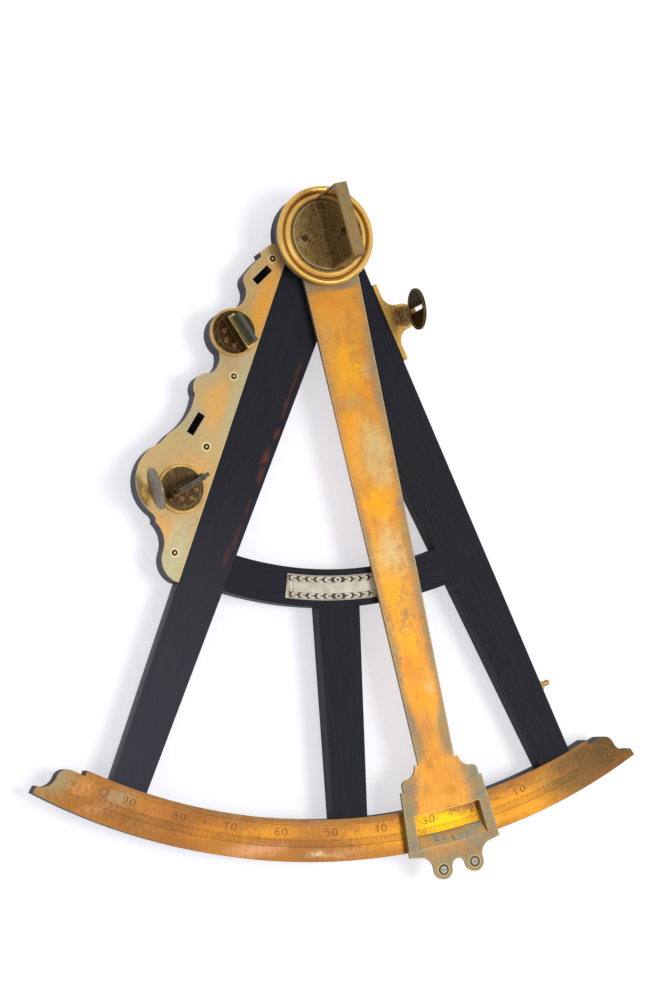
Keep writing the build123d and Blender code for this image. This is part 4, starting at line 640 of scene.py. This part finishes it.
def glass_material(name, tint):
    """Old clear glass, faintly green, with dust on it."""
    recipe = Recipe(name)
    dust = recipe.noise(recipe.coordinates, 220.0, 4.0, 0.6)
    colour = recipe.mix(recipe.remap(dust, 0.4, 0.75, 0.0, 0.6), tint, rgb(78, 80, 60))
    rough = recipe.remap(dust, 0.35, 0.75, 0.12, 0.3)
    return recipe.finish(colour, rough, Transmission_Weight=0.35, IOR=1.5)


def mirror_material(name):
    """Old silvering seen through glass, browned and spotted."""
    recipe = Recipe(name)
    clouds = recipe.noise(recipe.coordinates, 140.0, 5.0, 0.62, 0.5)
    spots = recipe.noise(recipe.coordinates, 1100.0, 4.0, 0.7)
    colour = recipe.mix(recipe.remap(clouds, 0.35, 0.7), rgb(126, 114, 90), rgb(80, 64, 40))
    colour = recipe.mix(recipe.remap(spots, 0.56, 0.72, 0.0, 0.7), colour, rgb(50, 40, 26))
    recipe.relief(spots, 0.004)
    return recipe.finish(colour, recipe.remap(spots, 0.4, 0.7, 0.05, 0.3), 0.95, Coat_Weight=0.5,
                         Coat_Roughness=0.03)


def ink_material(name, tone):
    """The dark fill of an engraved line, broken here and there."""
    recipe = Recipe(name)
    wear = recipe.noise(recipe.coordinates, 420.0, 4.0, 0.6)
    worn = rgb(tone[0] + 50, tone[1] + 34, tone[2] + 12)
    colour = recipe.mix(recipe.remap(wear, 0.4, 0.7), rgb(*tone), worn)
    return recipe.finish(colour, recipe.remap(wear, 0.3, 0.7, 0.5, 0.8), 0.3)


give(bone_material(), "plaque")
give(mirror_material("index_silvering"), "mirror_glass")
give(glass_material("fore_glass", rgb(104, 110, 88)), "fore_mirror_glass")
give(glass_material("back_glass", rgb(74, 70, 54)), "back_mirror_glass")
ink = ink_material("engraving", (92, 60, 26))
bone_ink = ink_material("bone_engraving", (46, 42, 38))
husk_ink = ink_material("husk_shade", (150, 138, 108))


def piece(name, points, faces, material, body):
    """A mesh object that rides on a CAD body."""
    mesh = bpy.data.meshes.new(name)
    mesh.from_pydata(points, [], faces)
    mesh.validate()
    mesh.materials.append(material)
    thing = bpy.data.objects.new(name, mesh)
    bpy.context.scene.collection.objects.link(thing)
    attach(thing, body)
    return thing


def above(top_mm, lift_mm):
    """A function that sets flat points a hair above a level surface."""
    def where(x, y):
        return Vector((x, y, top_mm + lift_mm)) / 1000
    return where


class Engraving:
    """Flat marks on a surface, placed by the function `where` and gathered into one mesh."""

    def __init__(self, where):
        self.where = where
        self.points = []
        self.faces = []

    def polygon(self, outline):
        """A filled shape."""
        start = len(self.points)
        self.points.extend(self.where(x, y) for x, y in outline)
        self.faces.append(tuple(range(start, start + len(outline))))

    def stroke(self, line, width):
        """A line of even or varying width through flat points."""
        count = len(line)
        widths = width if isinstance(width, (list, tuple)) else [width] * count
        left = []
        right = []
        for i, (x, y) in enumerate(line):
            before = line[max(i - 1, 0)]
            after = line[min(i + 1, count - 1)]
            dx = after[0] - before[0]
            dy = after[1] - before[1]
            size = math.hypot(dx, dy) or 1.0
            half = widths[i] / 2
            left.append((x - dy / size * half, y + dx / size * half))
            right.append((x + dy / size * half, y - dx / size * half))
        start = len(self.points)
        self.points.extend(self.where(x, y) for x, y in left)
        self.points.extend(self.where(x, y) for x, y in right)
        for i in range(count - 1):
            self.faces.append((start + i, start + count + i, start + count + i + 1, start + i + 1))

    def done(self, name, material, body):
        """Turn the marks into one piece of the scene."""
        return piece(name, self.points, self.faces, material, body)


def curve_through(points, steps=5):
    """A smooth line through a few points."""
    smooth = []
    last = len(points) - 1
    for i in range(last):
        p0 = points[max(i - 1, 0)]
        p1 = points[i]
        p2 = points[i + 1]
        p3 = points[min(i + 2, last)]
        for k in range(steps):
            t = k / steps
            smooth.append(tuple(
                0.5 * (2 * p1[c] + (p2[c] - p0[c]) * t
                       + (2 * p0[c] - 5 * p1[c] + 4 * p2[c] - p3[c]) * t * t
                       + (3 * p1[c] - p0[c] - 3 * p2[c] + p3[c]) * t ** 3)
                for c in (0, 1)
            ))
    smooth.append(points[last])
    return smooth


def ellipse(cx, cy, rx, ry, steps=20):
    """The points round an ellipse, with the first one again at the end."""
    return [(cx + rx * math.cos(i * math.tau / steps), cy + ry * math.sin(i * math.tau / steps))
            for i in range(steps + 1)]


def numeral_strokes(digit):
    """An old-style numeral as a few strokes with their widths, in a box 0.6 wide and 1 high."""
    if digit == 0:
        ring = ellipse(0.3, 0.5, 0.23, 0.45)
        return [(ring, [0.05 + 0.11 * abs(math.cos(i * math.tau / 20)) for i in range(21)])]
    if digit == 1:
        flag = [(0.14, 0.8), (0.3, 0.95)]
        foot = [(0.14, 0.04), (0.46, 0.04)]
        return [([(0.3, 0.95), (0.3, 0.05)], 0.13), (flag, 0.07), (foot, 0.05)]
    if digit == 2:
        bow = curve_through([(0.1, 0.72), (0.16, 0.9), (0.32, 0.95), (0.48, 0.8), (0.42, 0.55),
                             (0.2, 0.25), (0.08, 0.06)])
        foot = curve_through([(0.08, 0.06), (0.2, 0.13), (0.38, 0.03), (0.54, 0.16)])
        return [(bow, 0.09), (foot, 0.09)]
    if digit == 3:
        upper = curve_through([(0.1, 0.82), (0.26, 0.96), (0.46, 0.84), (0.4, 0.6), (0.22, 0.52)])
        lower = curve_through([(0.22, 0.52), (0.46, 0.46), (0.5, 0.2), (0.28, 0.02), (0.08, 0.14)])
        return [(upper, 0.09), (lower, 0.11)]
    if digit == 4:
        return [([(0.36, 0.95), (0.06, 0.32), (0.56, 0.32)], 0.06), ([(0.4, 0.95), (0.4, 0.02)], 0.12)]
    if digit == 5:
        bowl = curve_through([(0.16, 0.54), (0.36, 0.6), (0.5, 0.36), (0.4, 0.08), (0.1, 0.06)])
        return [([(0.14, 0.94), (0.5, 0.96)], 0.08), ([(0.16, 0.92), (0.15, 0.54)], 0.05), (bowl, 0.11)]
    if digit == 6:
        stem = curve_through([(0.48, 0.96), (0.24, 0.82), (0.1, 0.46), (0.12, 0.24)])
        return [(stem, 0.09), (ellipse(0.31, 0.28, 0.19, 0.25), 0.09)]
    if digit == 7:
        top = curve_through([(0.08, 0.82), (0.2, 0.94), (0.36, 0.86), (0.52, 0.94)])
        return [(top, 0.1), (curve_through([(0.52, 0.94), (0.32, 0.56), (0.24, 0.02)]), 0.09)]
    if digit == 8:
        return [(ellipse(0.3, 0.74, 0.16, 0.2), 0.08), (ellipse(0.3, 0.27, 0.2, 0.25), 0.09)]
    tail = curve_through([(0.48, 0.7), (0.46, 0.4), (0.32, 0.12), (0.12, 0.03)])
    return [(ellipse(0.3, 0.7, 0.19, 0.25), 0.09), (tail, 0.09)]


def flat_point(reach_mm, bearing):
    """A flat point from its distance to the pivot and its bearing."""
    turn = math.radians(bearing)
    return (reach_mm * math.sin(turn), -reach_mm * math.cos(turn))


def polar_stroke(engraving, line, width):
    """A stroke given as distances and bearings."""
    engraving.stroke([flat_point(reach, turn) for reach, turn in line], width)


def write_number(engraving, number, radius_mm, bearing, height_mm, gap_mm=0.5, wide=1.0):
    """A number whose digits stand upright towards the pivot, centred on a bearing."""
    digits = [int(c) for c in str(number)]
    width = 0.6 * wide * height_mm + gap_mm
    start = -(len(digits) * width - gap_mm) / 2
    for i, digit in enumerate(digits):
        for line, size in numeral_strokes(digit):
            flat = []
            for x, y in line:
                across = start + i * width + x * wide * height_mm
                reach = radius_mm - (y - 0.5) * height_mm
                flat.append((reach, bearing + math.degrees(across / radius_mm)))
            thick = 0.85 * height_mm
            widths = [w * thick for w in size] if isinstance(size, list) else size * thick
            polar_stroke(engraving, flat, widths)


def arc_line(engraving, radius_mm, first, last, width_mm):
    """A line along an arc about the pivot, in pieces of two thirds of a degree."""
    steps = max(2, int(abs(last - first) * 1.5))
    line = [(radius_mm, first + (last - first) * i / steps) for i in range(steps + 1)]
    polar_stroke(engraving, line, width_mm)


def reading_bearing(reading):
    """The bearing of a reading. The mirrors make each degree of arc read as two."""
    return (45 - reading) / 2 + 0.4


# Graduated scale: its lines, and a tick at each third of a degree up to 3 degrees beyond 0 and 90
lines = Engraving(above(scale_top_mm, 0.03))
first_bearing = reading_bearing(94.3)
last_bearing = reading_bearing(-4.3)
for radius_mm, width_mm in ((scale_line_mm, 0.2), (degree_tick_mm, 0.14), (third_tick_mm, 0.16),
                            (scale_radius_mm, 0.26)):
    arc_line(lines, radius_mm, first_bearing, last_bearing, width_mm)
for third in range(3 * -3, 3 * 93 + 1):
    turn = reading_bearing(third / 3)
    inner, width_mm = (degree_tick_mm, 0.24) if third % 3 == 0 else (third_tick_mm, 0.18)
    polar_stroke(lines, [(inner, turn), (scale_radius_mm, turn)], width_mm)
for end in (first_bearing, last_bearing):
    polar_stroke(lines, [(scale_line_mm, end), (scale_radius_mm, end)], 0.18)
lines.done("scale_lines", ink, "frame")

# Its numerals at the tens, and a dot between each two of them
numbers = Engraving(above(scale_top_mm, 0.03))
for reading in range(0, 91, 10):
    write_number(numbers, reading, numeral_radius_mm, reading_bearing(reading), 5.0, 1.1, 1.35)
for reading in range(5, 90, 10):
    cx, cy = flat_point(dot_radius_mm, reading_bearing(reading))
    numbers.polygon(ellipse(cx, cy, 0.5, 0.5, 10)[:-1])
numbers.done("scale_numbers", ink, "frame")

# A flower of eight petals at each end
flowers = Engraving(above(scale_top_mm, 0.03))
for bearing, radius_mm in ((-24.57, 396.9), (25.25, 395.6)):
    cx, cy = flat_point(radius_mm, bearing)
    for petal in range(8):
        heading = petal * math.tau / 8 + math.radians(bearing)
        shape = []
        for x, y in ellipse(2.6, 0, 1.2, 0.42, 10)[:-1]:
            shape.append((cx + x * math.cos(heading) - y * math.sin(heading),
                          cy + x * math.sin(heading) + y * math.cos(heading)))
        flowers.polygon(shape)
flowers.done("scale_flowers", ink, "frame")


# Vernier, engraved on its bevel: 20 parts that are as long as 19 thirds of a degree on the scale
vernier_parts = 20
vernier_step = (19 / 20) / 6
bevel_low_mm = 0.6
bevel_width_mm = 7.7
vernier_edge_mm = 406.7


def on_bevel(x, y):
    """A point a hair above the vernier's bevel, which rises from the scale to the arm's top."""
    low = scale_top_mm + bevel_low_mm
    rise = (math.hypot(x, y) - scale_radius_mm) / bevel_width_mm
    return Vector((x, y, low + rise * (arm_top_mm - low) + 0.04)) / 1000


def vernier_bearing(part):
    """The bearing of one of the vernier's divisions."""
    return rest_bearing + (part - vernier_parts / 2) * vernier_step


vernier = Engraving(on_bevel)
for part in range(vernier_parts + 1):
    turn = vernier_bearing(part)
    length = 3.2 if part % 5 == 0 else 1.7
    polar_stroke(vernier, [(vernier_edge_mm, turn), (vernier_edge_mm + length, turn)], 0.14)
arc_line(vernier, vernier_edge_mm + 0.05, rest_bearing - 3.3, rest_bearing + 3.3, 0.14)
for part in range(0, vernier_parts + 1, 5):
    write_number(vernier, vernier_parts - part, 411.0, vernier_bearing(part), 1.9, 0.2)
polar_stroke(vernier, [(410.0, rest_bearing + 0.1), (413.8, rest_bearing + 0.1)], 0.35)
vernier.done("vernier_marks", ink, "index")


# Plaque: a row of husks about a ring along each long side, and a bare band between the rows
plaque_width_mm = 16.4
plaque_inner = crossbar_inner_mm + crossbar_width_mm / 2 - plaque_width_mm / 2
plaque_outer = plaque_inner + plaque_width_mm
half_plaque = math.radians(8.8) * (plaque_inner + plaque_width_mm / 2)
border_mm = 0.9
row_height = 3.7
row_starts = (plaque_inner + border_mm, plaque_outer - border_mm - row_height)
husk_count = 5
husk_start = 3.5
husk_pitch = 6.0


def plaque_point(across_mm, radius_mm):
    """A flat point from its distance along the plaque's arc and its radius."""
    turn = across_mm / radius_mm
    return (radius_mm * math.sin(turn), -radius_mm * math.cos(turn))


def plaque_strip(engraving, inner, outer, half_mm):
    """A strip along the plaque between two radii."""
    steps = 24
    inside = [plaque_point(-half_mm + 2 * half_mm * i / steps, inner) for i in range(steps + 1)]
    outside = [plaque_point(half_mm - 2 * half_mm * i / steps, outer) for i in range(steps + 1)]
    start = len(engraving.points)
    engraving.points.extend(engraving.where(x, y) for x, y in inside + outside)
    for i in range(steps):
        far = start + 2 * steps + 1 - i
        engraving.faces.append((start + i, start + i + 1, far - 1, far))


def plaque_shape(engraving, outline, middle, side=1, base=0.0):
    """A filled shape whose outline runs along the plaque from a base, to one side or the other."""
    engraving.polygon([plaque_point(side * (base + x), middle + y) for x, y in outline])


husk_edge = curve_through([(0.4, 1.5), (2.4, 1.8), (4.4, 1.5), (5.6, 0.75), (5.9, 0.0)], 3)
husk_notch = [(1.5, -0.8), (1.9, 0.0), (1.5, 0.8)]
husk = husk_edge + [(x, -y) for x, y in reversed(husk_edge[:-1])] + husk_notch
husk_core = [(1.9, 0.0), (1.55, 0.7), (2.8, 0.8), (4.5, 0.0), (2.8, -0.8), (1.55, -0.7)]

dark = Engraving(above(plaque_top_mm, 0.03))
light = Engraving(above(plaque_top_mm, 0.06))
shade = Engraving(above(plaque_top_mm, 0.09))
centres = Engraving(above(plaque_top_mm, 0.09))
for start in row_starts:
    middle = start + row_height / 2
    plaque_strip(dark, start, start + row_height, half_plaque - 1.6)
    plaque_shape(light, ellipse(0, 0, 2.6, 1.75, 24)[:-1], middle)
    plaque_shape(centres, ellipse(0, 0, 1.0, 0.85, 14)[:-1], middle)
    for side in (-1, 1):
        for place in range(husk_count):
            base = husk_start + place * husk_pitch
            plaque_shape(light, husk, middle, side, base)
            plaque_shape(shade, husk_core, middle, side, base)
plaque_strip(dark, plaque_inner + 0.35, plaque_inner + 0.55, half_plaque - border_mm)
plaque_strip(dark, plaque_outer - 0.55, plaque_outer - 0.35, half_plaque - border_mm)
for side in (-1, 1):
    for inset, width in ((border_mm, 0.3), (1.9, 0.25), (4.6, 0.3)):
        across = side * (half_plaque - inset)
        line = [plaque_point(across, plaque_inner + border_mm + (plaque_width_mm - 2 * border_mm) * i / 4)
                for i in range(5)]
        dark.stroke(line, width)
dark.done("plaque_ground", bone_ink, "frame")
light.done("plaque_husks", bone_material(), "frame")
shade.done("plaque_husk_shades", husk_ink, "frame")
centres.done("plaque_ring_centres", bone_ink, "frame")


def seen_rays(tree):
    """1 for rays that end in the picture, straight or by way of metal and glass, and 0 for others."""
    path = tree.nodes.new("ShaderNodeLightPath")
    share = path.outputs["Is Camera Ray"]
    for name in ("Is Glossy Ray", "Is Transmission Ray"):
        either = tree.nodes.new("ShaderNodeMath")
        either.operation = "MAXIMUM"
        tree.links.new(share, either.inputs[0])
        tree.links.new(path.outputs[name], either.inputs[1])
        share = either.outputs[0]
    return share


# Floor, with a glow for the rays that are seen, which grows to white away from the object
floor_half = 6
floor_level = -0.0002
floor_mesh = bpy.data.meshes.new("floor")
corners = ((-1, -1), (1, -1), (1, 1), (-1, 1))
floor_points = [(x * floor_half, y * floor_half, floor_level) for x, y in corners]
floor_mesh.from_pydata(floor_points, [], [(0, 1, 2, 3)])
floor = bpy.data.objects.new("floor", floor_mesh)
bpy.context.scene.collection.objects.link(floor)
floor_recipe = Recipe("floor_paper")
fibres = floor_recipe.noise(floor_recipe.coordinates, 240.0, 3.0)
tone = floor_recipe.remap(fibres, 0.3, 0.7)
tone = floor_recipe.mix(tone, (0.86, 0.86, 0.89, 1), (0.89, 0.89, 0.92, 1))
floor_recipe.finish(tone, 0.9)
paper = floor_recipe.shader.outputs[0]
glow = floor_recipe.add("ShaderNodeEmission")
glow.inputs["Color"].default_value = (0.97, 0.96, 1.0, 1.0)
far_glow = floor_recipe.remap(floor_recipe.radius(), 0.7, 2.6, floor_glow, 1.0)
floor_recipe.feed(glow.inputs["Strength"], far_glow)
both = floor_recipe.add("ShaderNodeAddShader")
floor_recipe.feed(both.inputs[0], paper)
floor_recipe.feed(both.inputs[1], glow.outputs[0])
seen = floor_recipe.add("ShaderNodeMixShader")
floor_recipe.feed(seen.inputs[0], seen_rays(floor_recipe.tree))
floor_recipe.feed(seen.inputs[1], paper)
floor_recipe.feed(seen.inputs[2], both.outputs[0])
floor_recipe.feed(floor_recipe.output.inputs[0], seen.outputs[0])
floor_mesh.materials.append(floor_recipe.material)

# World: dim light on the object, and white for the rays that are seen
world = bpy.data.worlds.new("studio")
bpy.context.scene.world = world
world.use_nodes = True
world_tree = world.node_tree
dim = world_tree.nodes["Background"]
dim.inputs["Color"].default_value = (0.90, 0.93, 1.0, 1.0)
dim.inputs["Strength"].default_value = world_strength
white = world_tree.nodes.new("ShaderNodeBackground")
white.inputs["Color"].default_value = (0.97, 0.98, 1.0, 1.0)
shown = world_tree.nodes.new("ShaderNodeMixShader")
world_tree.links.new(seen_rays(world_tree), shown.inputs[0])
world_tree.links.new(dim.outputs[0], shown.inputs[1])
world_tree.links.new(white.outputs[0], shown.inputs[2])
world_tree.links.new(shown.outputs[0], world_tree.nodes["World Output"].inputs[0])


def area_light(name, place, aim, size, power):
    """A round soft lamp that points at a place."""
    lamp = bpy.data.lights.new(name, "AREA")
    lamp.shape = "DISK"
    lamp.size = size
    lamp.energy = power
    holder = bpy.data.objects.new(name, lamp)
    holder.location = place
    holder.rotation_euler = (Vector(aim) - Vector(place)).to_track_quat("-Z", "Y").to_euler()
    bpy.context.scene.collection.objects.link(holder)


area_light("key", (0.75, -0.42, 2.15), (0.0, -0.22, 0.0), 0.8, 15.0)
area_light("fill", (-1.2, -0.7, 2.2), (0.0, -0.2, 0.0), 1.8, 6.0)

bpy.context.scene.view_settings.view_transform = "Standard"
